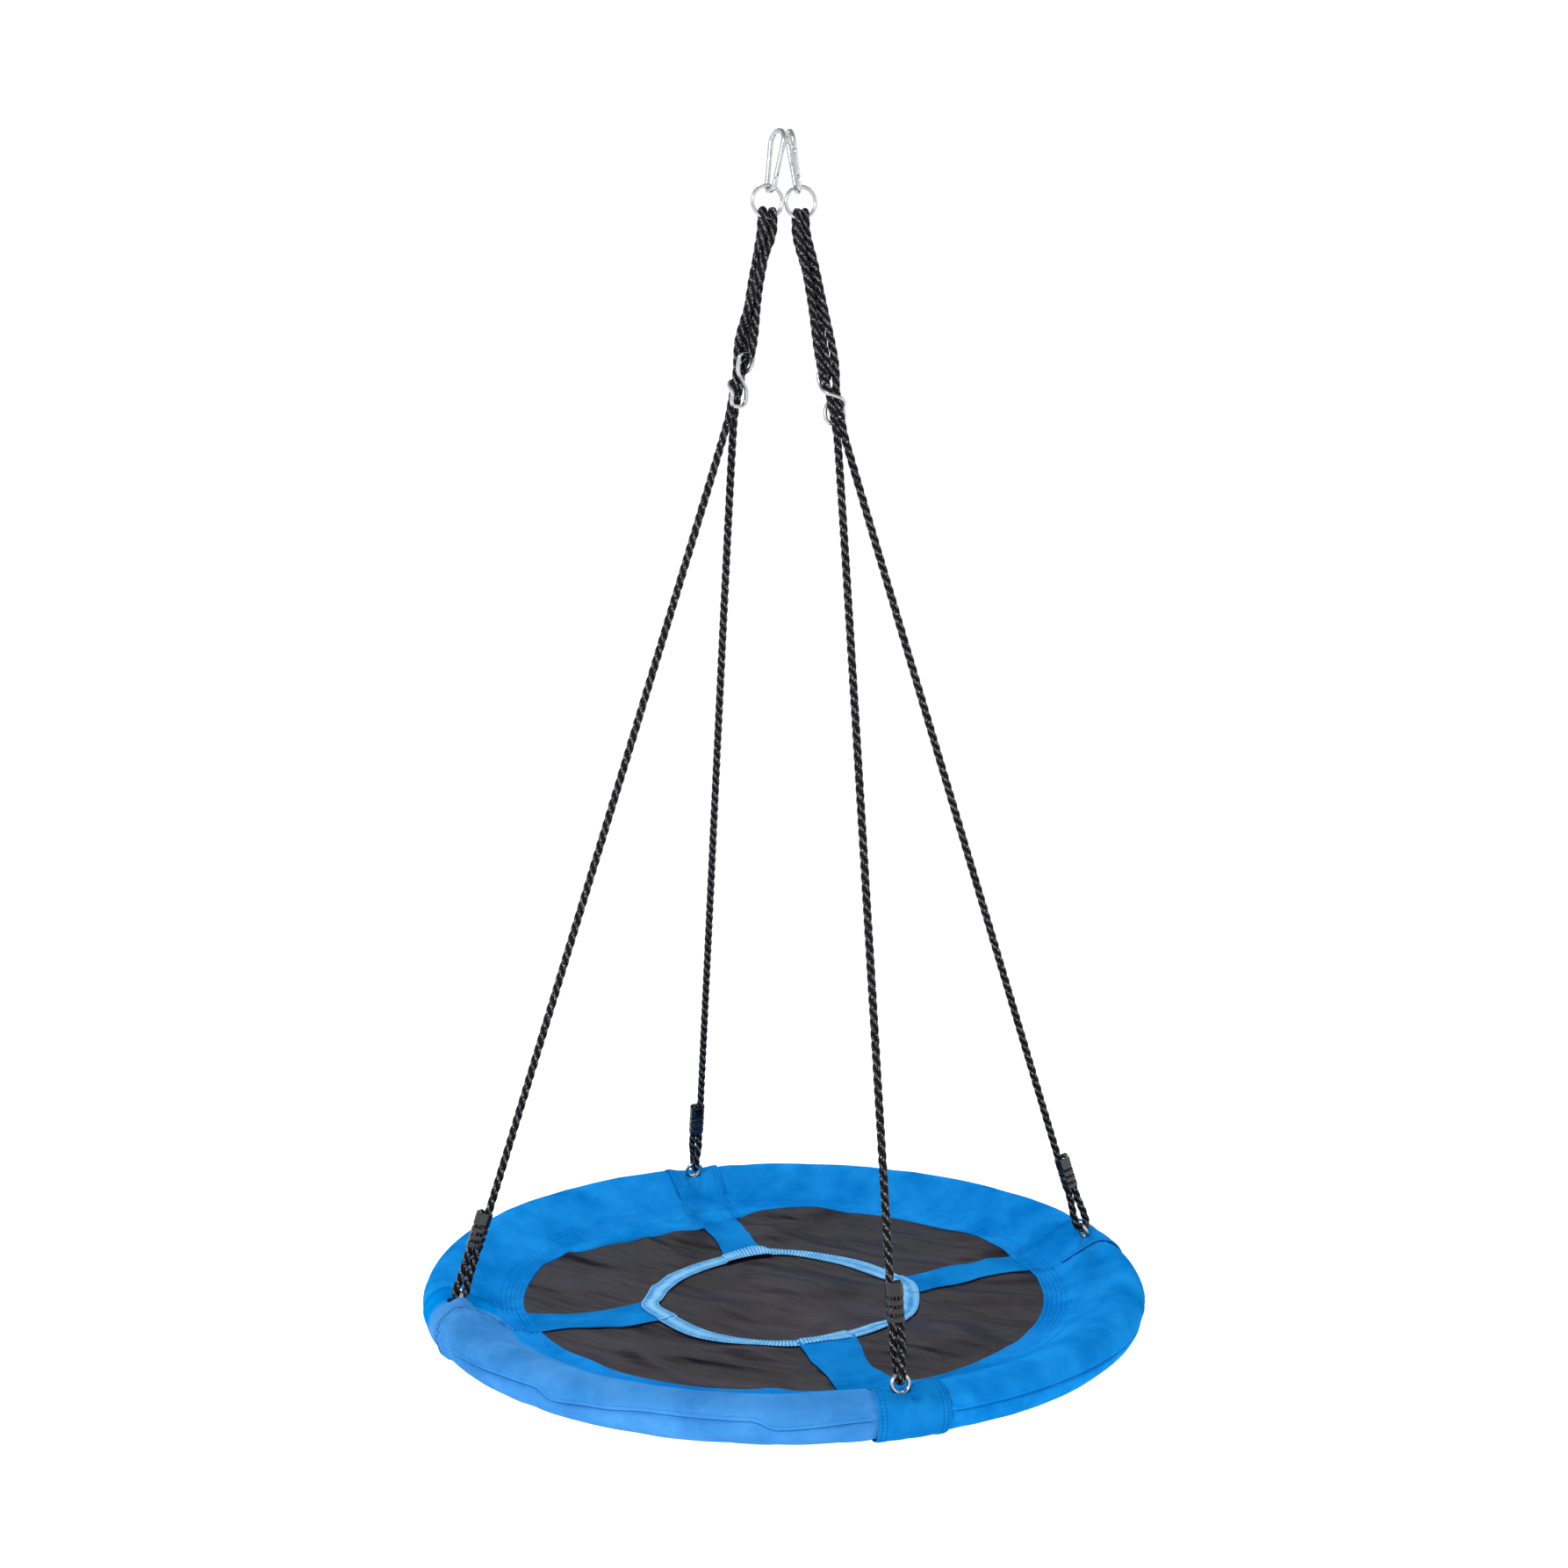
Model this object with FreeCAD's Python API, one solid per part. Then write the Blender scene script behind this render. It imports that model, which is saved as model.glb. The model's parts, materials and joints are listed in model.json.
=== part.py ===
"""Saucer nest swing: a padded round seat hung by two looped ropes from two snap hooks.

Millimetres, +Z up.  The origin is the hanging point, where the top bows of the two snap
hooks bear on the hanger.  The two welded rings stand side by side along X, and the seat
swings fore and aft along Y.  The four rope ends reach the rim on the X and Y axes.
"""
import FreeCAD
import Part
import math
import os

Vector = FreeCAD.Vector
os.makedirs("parts", exist_ok=True)

# ---------------------------------------------------------------- driving dimensions
SEAT_DIAMETER = 1000.0          # over the padded rim
RIM_SECTION = 62.0              # thickness of the padded, covered rim
HANG_HEIGHT = 1573.0            # hanging point down to the rim's middle plane
ROPE_DIAMETER = 9.5
BODY_GAP = 0.6                  # room left between parts that move on each other

# snap hooks
HOOK_WIRE = 7.0
HOOK_LENGTH = 86.0
HOOK_TOP_INSIDE = 12.0          # inside radius of the wide top bow
HOOK_FOOT_INSIDE = 5.5          # inside radius of the narrow bow that holds the ring
HOOK_TOP_SPACING = 15.0         # between the two top bows
HOOK_YAW = {"left": 15.0, "right": -5.0}
HOOK_INSET = 4.5                # the hooks hold the rings this much inside their middles
GATE_WIRE = 6.6
GATE_PIN_RISE = 11.0            # pin above the foot bow's tangent point
NOSE_LENGTH = 4.0               # straight wire below the top bow, on the gate side
TONGUE_THICKNESS = 2.2
TONGUE_RADIUS = 3.0
GATE_SLOT = 2.8
PIN_DIAMETER = 2.4
PIN_CLEARANCE = 0.05            # between the pin and the gate that turns on it

# welded rings
RING_WIRE = 5.0
RING_RADIUS = 20.5              # to the middle of the wire
RING_SPACING = 2 * RING_RADIUS + RING_WIRE + 0.3

# rope adjusters
ADJUSTER_WIRE = 5.5
ADJUSTER_HALF_WIDTH = 13.25
ADJUSTER_TOP = 36.0             # top bar above the waist
ADJUSTER_FOOT = 34.0            # bottom bar below the waist
ADJUSTER_SHARE = {"left": 0.147, "right": 0.163}    # of the way from the ring to the seat

# rope ends
CLAMP_START = 62.0              # from the eye's top wire to the clamp
CLAMP_LENGTH = 49.0
CLAMP_WIDTH = 23.0
CLAMP_DEPTH = 15.5
STRAND = 4.85                   # half the distance between two ropes lying side by side

# eye bolts
EYE_OUTSIDE = 28.0
EYE_WIRE = 5.5
EYE_CIRCLE = 460.0              # radius on which the four eyes stand
EYE_RISE = 31.0                 # eye's middle above the rim's middle plane
BOLT_DIAMETER = 7.8
BOLT_BELOW = 26.0

# frame and padding
TUBE_DIAMETER = 25.0
TUBE_WALL = 1.5
SPIGOT_DIAMETER = 21.8
SOCKET_LAP = 22.0               # socket end before the bolt
SPIGOT_REACH = 30.0             # spigot end beyond the bolt
FOAM_DIAMETER = 58.0
FOAM_END = 34.0                 # foam stops this far from each bolt
COVER_THICKNESS = 1.4
BAND_WIDTH = 100.0
BAND_PROUD = 0.6
EYE_OPENING = 36.0

# seat cloth
SEAT_SAG = 27.0
CLOTH_THICKNESS = 1.5
BORDER_INSIDE = 362.5           # inner edge of the stitched blue border
WEB_RING_OUTSIDE = 195.0
WEB_RING_WIDTH = 25.0
SPOKE_WIDTH = 62.0
LAYER_GAP = 0.1

# ---------------------------------------------------------------- derived sizes
RIM_Z = -HANG_HEIGHT
RIM_RADIUS = (SEAT_DIAMETER - RIM_SECTION) / 2
SIDES = {"left": -1, "right": 1}
ATTACHMENTS = {"right": 0.0, "back": 90.0, "left": 180.0, "front": 270.0}
Z_AXIS = Vector(0, 0, 1)

eye_reach = math.hypot(EYE_RISE, RIM_RADIUS - EYE_CIRCLE)   # eye's middle to the tube's middle
hook_top_radius = HOOK_TOP_INSIDE + HOOK_WIRE / 2
hook_foot_radius = HOOK_FOOT_INSIDE + HOOK_WIRE / 2
hook_foot_z = HOOK_WIRE - HOOK_LENGTH + HOOK_WIRE / 2 + hook_foot_radius
hook_ring_z = hook_foot_z - HOOK_FOOT_INSIDE + RING_WIRE / 2 + BODY_GAP
hook_lean = math.asin(((RING_SPACING - HOOK_TOP_SPACING) / 2 - HOOK_INSET) / abs(hook_ring_z))
ring_held_z = hook_ring_z * math.cos(hook_lean)             # the ring's wire inside the hook
ring_middle_z = ring_held_z - math.sqrt(RING_RADIUS ** 2 - HOOK_INSET ** 2)
ring_bottom_z = ring_middle_z - RING_RADIUS


# ---------------------------------------------------------------- helpers
def export(name, shape):
    """Write one sub-part and print its volume."""
    if not shape.isValid():
        print("INVALID", name)
    shape.exportStep("parts/%s.step" % name)
    print("%-24s solids %d  volume %.0f" % (name, len(shape.Solids), shape.Volume))


def unit(vector):
    return Vector(vector).normalize()


class Seat:
    """A local place: an origin with its own X and Z directions."""

    def __init__(self, origin, x_axis, z_axis):
        self.origin = Vector(origin)
        self.z = unit(z_axis)
        self.x = unit(x_axis - self.z * x_axis.dot(self.z))
        self.y = self.z.cross(self.x)

    def point(self, x, y, z):
        return self.origin + self.x * x + self.y * y + self.z * z

    def put(self, shape):
        """Move a shape from its own axes to this place."""
        rows = [(self.x[i], self.y[i], self.z[i], self.origin[i]) for i in range(3)]
        values = [value for row in rows for value in row] + [0, 0, 0, 1]
        moved = shape.copy()
        moved.Placement = FreeCAD.Placement(FreeCAD.Matrix(*values)).multiply(shape.Placement)
        return moved


def rounded_route(points, share=0.45):
    """Straight runs joined by tangent arcs as large as the runs allow; the arcs' radii too."""
    edges = []
    radii = []
    start = points[0]
    for before, corner, after in zip(points, points[1:], points[2:]):
        back = unit(before - corner)
        ahead = unit(after - corner)
        half_turn = (math.pi - back.getAngle(ahead)) / 2
        cut = share * min((before - corner).Length, (after - corner).Length)
        radius = cut / math.tan(half_turn)
        bisector = unit(back + ahead)
        middle = corner + bisector * (radius / math.cos(half_turn) - radius)
        arc_start = corner + back * cut
        arc_end = corner + ahead * cut
        edges.append(Part.LineSegment(start, arc_start).toShape())
        edges.append(Part.Arc(arc_start, middle, arc_end).toShape())
        radii.append(radius)
        start = arc_end
    edges.append(Part.LineSegment(start, points[-1]).toShape())
    return edges, radii


def rod(edges, diameter):
    """A round bar along a path of edges."""
    path = Part.Wire(edges)
    first = path.Edges[0]
    start = first.valueAt(first.FirstParameter)
    tangent = first.tangentAt(first.FirstParameter)
    section = Part.Wire([Part.makeCircle(diameter / 2, start, tangent)])
    return path.makePipeShell([section], True, False)


def box_about(x_size, y_size, z_size, centre):
    corner = centre - Vector(x_size, y_size, z_size) / 2
    return Part.makeBox(x_size, y_size, z_size, corner)


def stadium(width, depth, height, z_low):
    """A bar with round sides: width over the rounds, depth across the flats."""
    half = (width - depth) / 2
    body = box_about(2 * half, depth, height, Vector(0, 0, z_low + height / 2))
    for x in (-half, half):
        body = body.fuse(Part.makeCylinder(depth / 2, height, Vector(x, 0, z_low)))
    return body.removeSplitter()


def torus_sector(section_radius, start_angle, span_angle):
    """A solid piece of the rim's ring; angles in degrees about +Z."""
    ring = Part.makeTorus(RIM_RADIUS, section_radius, Vector(0, 0, RIM_Z), Z_AXIS, 0, 360, span_angle)
    ring.rotate(Vector(0, 0, 0), Z_AXIS, start_angle)
    return ring


def rim_angle(length):
    """The angle, in degrees, of a length measured along the rim."""
    return math.degrees(length / RIM_RADIUS)


# ---------------------------------------------------------------- places
def hook_seat(side):
    """The snap hook's own axes: X towards the gate, Z from the foot bow to the top bow."""
    sign = SIDES[side]
    lean = Vector(-sign * math.sin(hook_lean), 0, math.cos(hook_lean))
    yaw = math.radians(HOOK_YAW[side])
    gate_way = Vector(math.sin(yaw), -math.cos(yaw), 0)
    return Seat(Vector(sign * HOOK_TOP_SPACING / 2, 0, 0), gate_way, lean)


def ring_seat(side):
    """The middle of a ring's lowest wire."""
    return Seat(Vector(SIDES[side] * RING_SPACING / 2, 0, ring_bottom_z), Vector(1, 0, 0), Z_AXIS)


def outwards(place):
    angle = math.radians(ATTACHMENTS[place])
    return Vector(math.cos(angle), math.sin(angle), 0)


def eye_seat(place):
    """The eye's middle; Z is the bolt's line, through the tube's middle and leaning inwards."""
    middle = outwards(place) * EYE_CIRCLE + Z_AXIS * (RIM_Z + EYE_RISE)
    tube = outwards(place) * RIM_RADIUS + Z_AXIS * RIM_Z
    return Seat(middle, outwards(place), middle - tube)


# the two rope ends that each adjuster feeds: on its own -X side, then on its +X side
ADJUSTER_ENDS = {"left": ("back", "left"), "right": ("front", "right")}
ADJUSTER_FACING = {"left": Vector(-0.88, -0.47, 0), "right": Vector(1, 0, 0)}


def adjuster_seat(side):
    """The adjuster's waist, on the line from the ring to the middle of its two rope ends."""
    ends = [eye_seat(place).origin for place in ADJUSTER_ENDS[side]]
    middle = (ends[0] + ends[1]) / 2
    ring = ring_seat(side).origin
    waist = ring + (middle - ring) * ADJUSTER_SHARE[side]
    return Seat(waist, ADJUSTER_FACING[side], ring - middle)


def side_of(place):
    return "left" if place in ADJUSTER_ENDS["left"] else "right"


def end_seat(place):
    """A rope end's own axes at the eye's top wire: X outwards, Z up along the rope."""
    wire = eye_seat(place).point(0, 0, (EYE_OUTSIDE - EYE_WIRE) / 2)
    rope_top = adjuster_seat(side_of(place)).point(0, 0, -ADJUSTER_FOOT)
    return Seat(wire, outwards(place), rope_top - wire)


# ---------------------------------------------------------------- hardware at the top
def make_hooks():
    """Snap hooks: bent wire bodies, sprung gates, hinge pins and springs."""
    fall = (hook_top_radius - hook_foot_radius) / abs(hook_foot_z + HOOK_TOP_INSIDE)
    taper = math.asin(fall)
    along = Vector(math.sin(taper), 0, math.cos(taper))
    outward = Vector(math.cos(taper), 0, -math.sin(taper))
    mirrored = Vector(-outward.x, 0, outward.z)
    top = Vector(0, 0, -HOOK_TOP_INSIDE)
    foot = Vector(0, 0, hook_foot_z)
    top_gate_side = top + outward * hook_top_radius
    foot_gate_side = foot + outward * hook_foot_radius
    top_spine_side = top + mirrored * hook_top_radius
    foot_spine_side = foot + mirrored * hook_foot_radius
    pin = foot_gate_side + along * GATE_PIN_RISE
    nose_end = top_gate_side - along * NOSE_LENGTH
    shoulder = pin - along * (GATE_WIRE / 2 + 1.0)
    nose_tongue = 5.5           # flat tongue on the nose, inside the gate's slot
    gate_end = nose_end - along * BODY_GAP
    straight = [
        Part.LineSegment(nose_end, top_gate_side).toShape(),
        Part.Arc(top_gate_side, top + Z_AXIS * hook_top_radius, top_spine_side).toShape(),
        Part.LineSegment(top_spine_side, foot_spine_side).toShape(),
        Part.Arc(foot_spine_side, foot - Z_AXIS * hook_foot_radius, foot_gate_side).toShape(),
        Part.LineSegment(foot_gate_side, shoulder).toShape(),
    ]
    gate_seat = Seat(pin, outward, along)
    gate_length = (gate_end - pin).Length

    def tongue(length, z_low):
        return box_about(2 * TONGUE_RADIUS, TONGUE_THICKNESS, length, Vector(0, 0, z_low + length / 2))

    def slot(z_low, z_high):
        return box_about(2 * GATE_WIRE, GATE_SLOT, z_high - z_low, Vector(0, 0, (z_low + z_high) / 2))

    body = rod(straight, HOOK_WIRE)
    hinge_tongue = tongue(GATE_WIRE / 2 + 1.0, -GATE_WIRE / 2 - 1.0)
    hinge_tongue = hinge_tongue.fuse(Part.makeCylinder(
        TONGUE_RADIUS, TONGUE_THICKNESS, Vector(0, -TONGUE_THICKNESS / 2, 0), Vector(0, 1, 0)))
    pin_hole = Part.makeCylinder(PIN_DIAMETER / 2, 20, Vector(0, -10, 0), Vector(0, 1, 0))
    hinge_tongue = hinge_tongue.cut(pin_hole)
    latch_tongue = tongue(nose_tongue, gate_length + BODY_GAP - nose_tongue)
    body = body.fuse([gate_seat.put(hinge_tongue), gate_seat.put(latch_tongue)]).removeSplitter()

    gate = Part.makeCylinder(GATE_WIRE / 2, gate_length, Vector(0, 0, 0))
    gate = gate.fuse(Part.makeSphere(GATE_WIRE / 2)).removeSplitter()
    gate = gate.cut([
        slot(-GATE_WIRE, TONGUE_RADIUS + 1.2),
        slot(gate_length - nose_tongue - 0.4, gate_length + 1),
        Part.makeCylinder(PIN_DIAMETER / 2 + PIN_CLEARANCE, 20, Vector(0, -10, 0), Vector(0, 1, 0)),
    ])
    spring_low = TONGUE_RADIUS + 1.2
    spring_length = 8.0
    spring_radius = 1.3
    spring_wire = 0.5
    bore = Part.makeCylinder(spring_radius + spring_wire / 2 + 0.1, spring_length + 0.2,
                             Vector(0, 0, spring_low))
    gate = gate.cut(bore)
    pin_shape = Part.makeCylinder(PIN_DIAMETER / 2, GATE_WIRE, Vector(0, -GATE_WIRE / 2, 0), Vector(0, 1, 0))

    helix = Part.makeHelix(1.3, spring_length - 2 * spring_wire, spring_radius)
    section = Part.Wire([Part.makeCircle(spring_wire / 2, Vector(spring_radius, 0, 0), Vector(0, 1, 0))])
    spring = Part.Wire(helix.Edges).makePipeShell([section], True, True)
    spring.translate(Vector(0, 0, spring_low + spring_wire))

    for side in SIDES:
        seat = hook_seat(side)
        export("hook_body_" + side, seat.put(body))
        export("hook_gate_" + side, seat.put(gate_seat.put(gate)))
        export("hook_pin_" + side, seat.put(gate_seat.put(pin_shape)))
        export("hook_spring_" + side, seat.put(gate_seat.put(spring)))
        hinge = seat.point(pin.x, 0, pin.z)
        print("hinge %s at (%.3f, %.3f, %.3f) axis (%.5f, %.5f, %.5f)" % (
            side, hinge.x, hinge.y, hinge.z, seat.y.x, seat.y.y, seat.y.z))


def make_rings():
    """Welded rings, one in each snap hook."""
    for side, sign in SIDES.items():
        middle = Vector(sign * RING_SPACING / 2, 0, ring_middle_z)
        export("ring_" + side, Part.makeTorus(RING_RADIUS, RING_WIRE / 2, middle, Vector(0, 1, 0)))


def make_adjusters():
    """Figure-eight rope adjusters, bent from one rod that crosses the ropes at its waist.

    The rod's two ends meet, with a hairline between them, in the middle of the top bar.
    """
    wide = ADJUSTER_HALF_WIDTH
    back = ROPE_DIAMETER / 2 + ADJUSTER_WIRE / 2 + 0.3
    corners = [
        Vector(0, back, ADJUSTER_TOP),
        Vector(-wide, back, ADJUSTER_TOP),
        Vector(-wide, back, 18),
        Vector(-wide + 1, -back * 0.85, 6),
        Vector(wide - 1, -back * 0.85, -6),
        Vector(wide, back, -16),
        Vector(wide, back, -ADJUSTER_FOOT),
        Vector(-wide, back, -ADJUSTER_FOOT),
        Vector(-wide, back, -13),
        Vector(wide, back, 13),
        Vector(wide, back, ADJUSTER_TOP),
        Vector(0.4, back, ADJUSTER_TOP),
    ]
    edges, _ = rounded_route(corners)
    rod_shape = rod(edges, ADJUSTER_WIRE)
    for side in SIDES:
        export("adjuster_" + side, adjuster_seat(side).put(rod_shape))


# ---------------------------------------------------------------- ropes and their ends
def around(radius, turned=1):
    """Corners of a half turn about a bar: the height grows upwards when turned is 1."""
    return [(-radius, turned * 0.577 * radius), (0, turned * 1.155 * radius), (radius, turned * 0.577 * radius)]


# Rope end, in the eye's own axes.  The loop goes down through the clamp, under the eye's
# top wire and back up; the flat one opens outwards, the twisted one turns a quarter.
FLAT_LOOP = [(4.85, 0, 114), (4.75, 0, 90), (4.9, 0, 64), (5.4, 0, 40), (8.3, 0, 15)]
TWISTED_LOOP = [(0, 4.85, 114), (0, 4.75, 88), (0, 4.9, 53), (4.6, 4.3, 33), (8.2, 0, 15)]
FLAT_RISE = [(-8.3, 0, 15), (-5.4, 0, 40), (-4.9, 0, 64), (-4.75, 0, 90), (-4.9, 0, 124)]
TWISTED_RISE = [(-8.2, 0, 15), (-4.6, -4.3, 33), (0, -4.9, 53), (0, -4.75, 88), (0, -4.9, 124)]
LOOP_KIND = {"right": "flat", "left": "flat", "front": "twisted", "back": "twisted"}

# The four ropes between the ring and the adjuster, as (x, y) beside the middle line, in the
# order in which one rope runs: up, down, up, down.  The rows are at shares of the way down.
ROW_SHARES = [0.25, 0.48, 0.735]
ROWS = {
    "left": [
        [(-3.3, 7.6), (-6.1, -2.7), (6.2, 1.2), (2.1, -9.7)],
        [(5.0, 8.9), (-4.2, 4.0), (5.0, -3.2), (-4.2, -8.1)],
        [(3.6, 9.4), (-0.8, 0.8), (9.8, -8.4), (-11.6, -4.1)],
    ],
    "right": [
        [(-8.3, -5.5), (-5.5, 5.5), (7.8, 6.5), (6.0, -5.5)],
        [(-7.6, -3.8), (0.5, 2.8), (3.6, 12.8), (7.2, -5.2)],
        [(-10.8, -0.5), (-0.7, -0.3), (-1.0, 15.8), (11.6, -0.5)],
    ],
}
# Bights on the ring, as (x, first y, second y).
RING_BIGHTS = {
    "left": [(-6.5, 1, -1), (6.5, 1, -1)],
    "right": [(-5.0, -1, 1), (5.0, 1, -1)],
}


def rope_end_points(place):
    """From the rope's cut end down to the eye and up to the clamp's top."""
    seat = end_seat(place)
    flat = LOOP_KIND[place] == "flat"
    radius = EYE_WIRE / 2 + ROPE_DIAMETER / 2 + 0.4
    points = [seat.point(*offset) for offset in (FLAT_LOOP if flat else TWISTED_LOOP)]
    points += [seat.point(-x, 0, z) for x, z in around(radius, -1)]
    points += [seat.point(*offset) for offset in (FLAT_RISE if flat else TWISTED_RISE)]
    return points


def through_adjuster(seat, sign):
    """Up through the adjuster, between its crossed rods and in front of its bars."""
    offsets = [(4.8, 0.3, -62), (4.9, -0.3, -36), (4.8, 0.2, -8), (5.2, -0.2, 12), (10.0, 0, 32)]
    return [seat.point(sign * x, y, z) for x, y, z in offsets]


def ring_bight(side, x, first_y, second_y):
    """Up on one side of the ring's lowest wire, over it and down on the other side."""
    ring = ring_seat(side)
    lift = RING_RADIUS - math.sqrt(RING_RADIUS ** 2 - x ** 2)
    radius = RING_WIRE / 2 + ROPE_DIAMETER / 2 + 1.4
    turn = [ring.point(x, first_y * (radius + 0.3), lift - 22)]
    turn += [ring.point(x, -first_y * y, lift + z) for y, z in around(radius)]
    turn += [ring.point(x, second_y * (radius + 0.3), lift - 22)]
    return turn


def rope_points(side):
    """The whole route of one side's rope, from one cut end to the other."""
    first_end, second_end = ADJUSTER_ENDS[side]
    seat = adjuster_seat(side)
    ring = ring_seat(side)
    strands = [[], [], [], []]
    for share, row in zip(ROW_SHARES, ROWS[side]):
        middle = ring.origin + (seat.origin - ring.origin) * share
        for strand, (x, y) in zip(strands, row):
            strand.append(middle + Vector(x, y, 0))
    bights = [ring_bight(side, *bight) for bight in RING_BIGHTS[side]]
    behind = ROPE_DIAMETER / 2 + ADJUSTER_WIRE / 2 + 0.3
    bar = seat.point(0, behind, ADJUSTER_TOP)
    hooked = [bar + seat.y * y + seat.z * z for y, z in around(behind, -1)]
    points = rope_end_points(first_end) + through_adjuster(seat, -1)
    points += strands[0][::-1] + bights[0] + strands[1]
    points += hooked
    points += strands[2][::-1] + bights[1] + strands[3]
    points += through_adjuster(seat, 1)[::-1] + rope_end_points(second_end)[::-1]
    return points


def make_ropes():
    """One rope a side, looped at both ends and doubled between the adjuster and the ring."""
    for side in SIDES:
        points = rope_points(side)
        edges, radii = rounded_route(points)
        rope = rod(edges, ROPE_DIAMETER)
        length = sum(edge.Length for edge in edges)
        section = math.pi * (ROPE_DIAMETER / 2) ** 2
        export("rope_" + side, rope)
        print("  length %.0f, volume / (section x length) %.4f" % (length, rope.Volume / (section * length)))
        print("  radii", " ".join("%.0f" % radius for radius in radii))


def make_clamps():
    """Moulded clamps that hold each rope's cut end beside the rope: a collar and three ribs."""
    collar = 17.0
    rib = 6.4
    groove = 3.9
    core_width = CLAMP_WIDTH - 2.0
    core_depth = CLAMP_DEPTH - 2.6
    core = stadium(core_width, core_depth, CLAMP_LENGTH, 0)
    solids = [stadium(CLAMP_WIDTH, CLAMP_DEPTH, collar, CLAMP_LENGTH - collar)]
    windows = []
    for row in range(3):
        z_low = row * (rib + groove) + 0.6
        solids.append(stadium(CLAMP_WIDTH, CLAMP_DEPTH, rib, z_low))
        middle = z_low + rib + groove / 2
        for x in (-7.2, -2.4, 2.4, 7.2):
            windows.append(box_about(2.9, 2 * CLAMP_DEPTH, groove - 0.6, Vector(x, 0, middle)))
    clamp = core.fuse(solids).removeSplitter()
    rope_slot = stadium(4 * STRAND + 0.6, ROPE_DIAMETER + 0.4, CLAMP_LENGTH + 2, -1)
    clamp = clamp.cut([rope_slot] + windows)
    for place in ATTACHMENTS:
        end = end_seat(place)
        across = end.x if LOOP_KIND[place] == "flat" else end.y
        export("rope_clamp_" + place, Seat(end.point(0, 0, CLAMP_START), across, end.z).put(clamp))


# ---------------------------------------------------------------- eye bolts and frame
def make_eye_bolts():
    """Eye bolts through the frame, with their washers and nuts."""
    eye = Part.makeTorus((EYE_OUTSIDE - EYE_WIRE) / 2, EYE_WIRE / 2, Vector(0, 0, 0), Vector(1, 0, 0))
    shank_top = -(EYE_OUTSIDE - EYE_WIRE) / 2
    shank_foot = -eye_reach - BOLT_BELOW
    shank = Part.makeCylinder(BOLT_DIAMETER / 2, shank_top - shank_foot, Vector(0, 0, shank_foot))
    hole_guard = Part.makeCylinder(EYE_OUTSIDE / 2 - EYE_WIRE, 40, Vector(-20, 0, 0), Vector(1, 0, 0))
    bolt = shank.cut(hole_guard).fuse(eye).removeSplitter()
    tube_half = TUBE_DIAMETER / 2
    washer_thickness = 1.6
    washer = Part.makeCylinder(10, washer_thickness).cut(Part.makeCylinder(4.2, washer_thickness))
    nut_height = 8.0
    corners = [Vector(7.5 * math.cos(a), 7.5 * math.sin(a), 0) for a in
               [math.radians(60 * step) for step in range(7)]]
    nut = Part.Face(Part.makePolygon(corners)).extrude(Vector(0, 0, nut_height))
    nut = nut.cut(Part.makeCylinder(BOLT_DIAMETER / 2, nut_height))
    washers = []
    nuts = []
    for place in ATTACHMENTS:
        seat = eye_seat(place)
        export("eye_bolt_" + place, seat.put(bolt))
        washers.append(seat.put(washer.translated(Vector(0, 0, tube_half + 0.4 - eye_reach))))
        low = -tube_half - 0.4 - washer_thickness - eye_reach
        washers.append(seat.put(washer.translated(Vector(0, 0, low))))
        nuts.append(seat.put(nut.translated(Vector(0, 0, low - nut_height))))
    export("bolt_washers", Part.makeCompound(washers))
    export("bolt_nuts", Part.makeCompound(nuts))


def bolt_holes(diameter):
    hole = Part.makeCylinder(diameter / 2, 2 * TUBE_DIAMETER, Vector(0, 0, -eye_reach - TUBE_DIAMETER))
    return [eye_seat(place).put(hole) for place in ATTACHMENTS]


def make_frame():
    """Four bent tubes: each one's swaged end fits into the next, and the eye bolt pins them."""
    lap = rim_angle(SOCKET_LAP)
    reach = rim_angle(SPIGOT_REACH)
    gap = rim_angle(0.4)
    wall_inside = TUBE_DIAMETER / 2 - TUBE_WALL
    spigot_inside = SPIGOT_DIAMETER / 2 - TUBE_WALL
    holes = bolt_holes(BOLT_DIAMETER + 0.6)
    names = list(ATTACHMENTS)
    for index, place in enumerate(names):
        start = ATTACHMENTS[place] - lap
        tube = torus_sector(TUBE_DIAMETER / 2, start, 90 - gap)
        spigot = torus_sector(SPIGOT_DIAMETER / 2, start + 80, 10 + lap + reach)
        bore = torus_sector(wall_inside, start - 1, 81)
        narrow_bore = torus_sector(spigot_inside, start + 79, 12 + lap + reach)
        shape = tube.fuse(spigot).cut([bore, narrow_bore] + holes)
        after = names[(index + 1) % len(names)]
        export("frame_tube_%s_%s" % (place, after), shape)


def make_padding():
    """Foam sleeves on the tubes, stopping short of each eye bolt."""
    ends = rim_angle(FOAM_END)
    names = list(ATTACHMENTS)
    for index, place in enumerate(names):
        start = ATTACHMENTS[place] + ends
        sleeve = torus_sector(FOAM_DIAMETER / 2, start, 90 - 2 * ends)
        core = torus_sector(TUBE_DIAMETER / 2 + 0.3, start - 1, 92 - 2 * ends)
        after = names[(index + 1) % len(names)]
        export("foam_sleeve_%s_%s" % (place, after), sleeve.cut(core))


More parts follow.
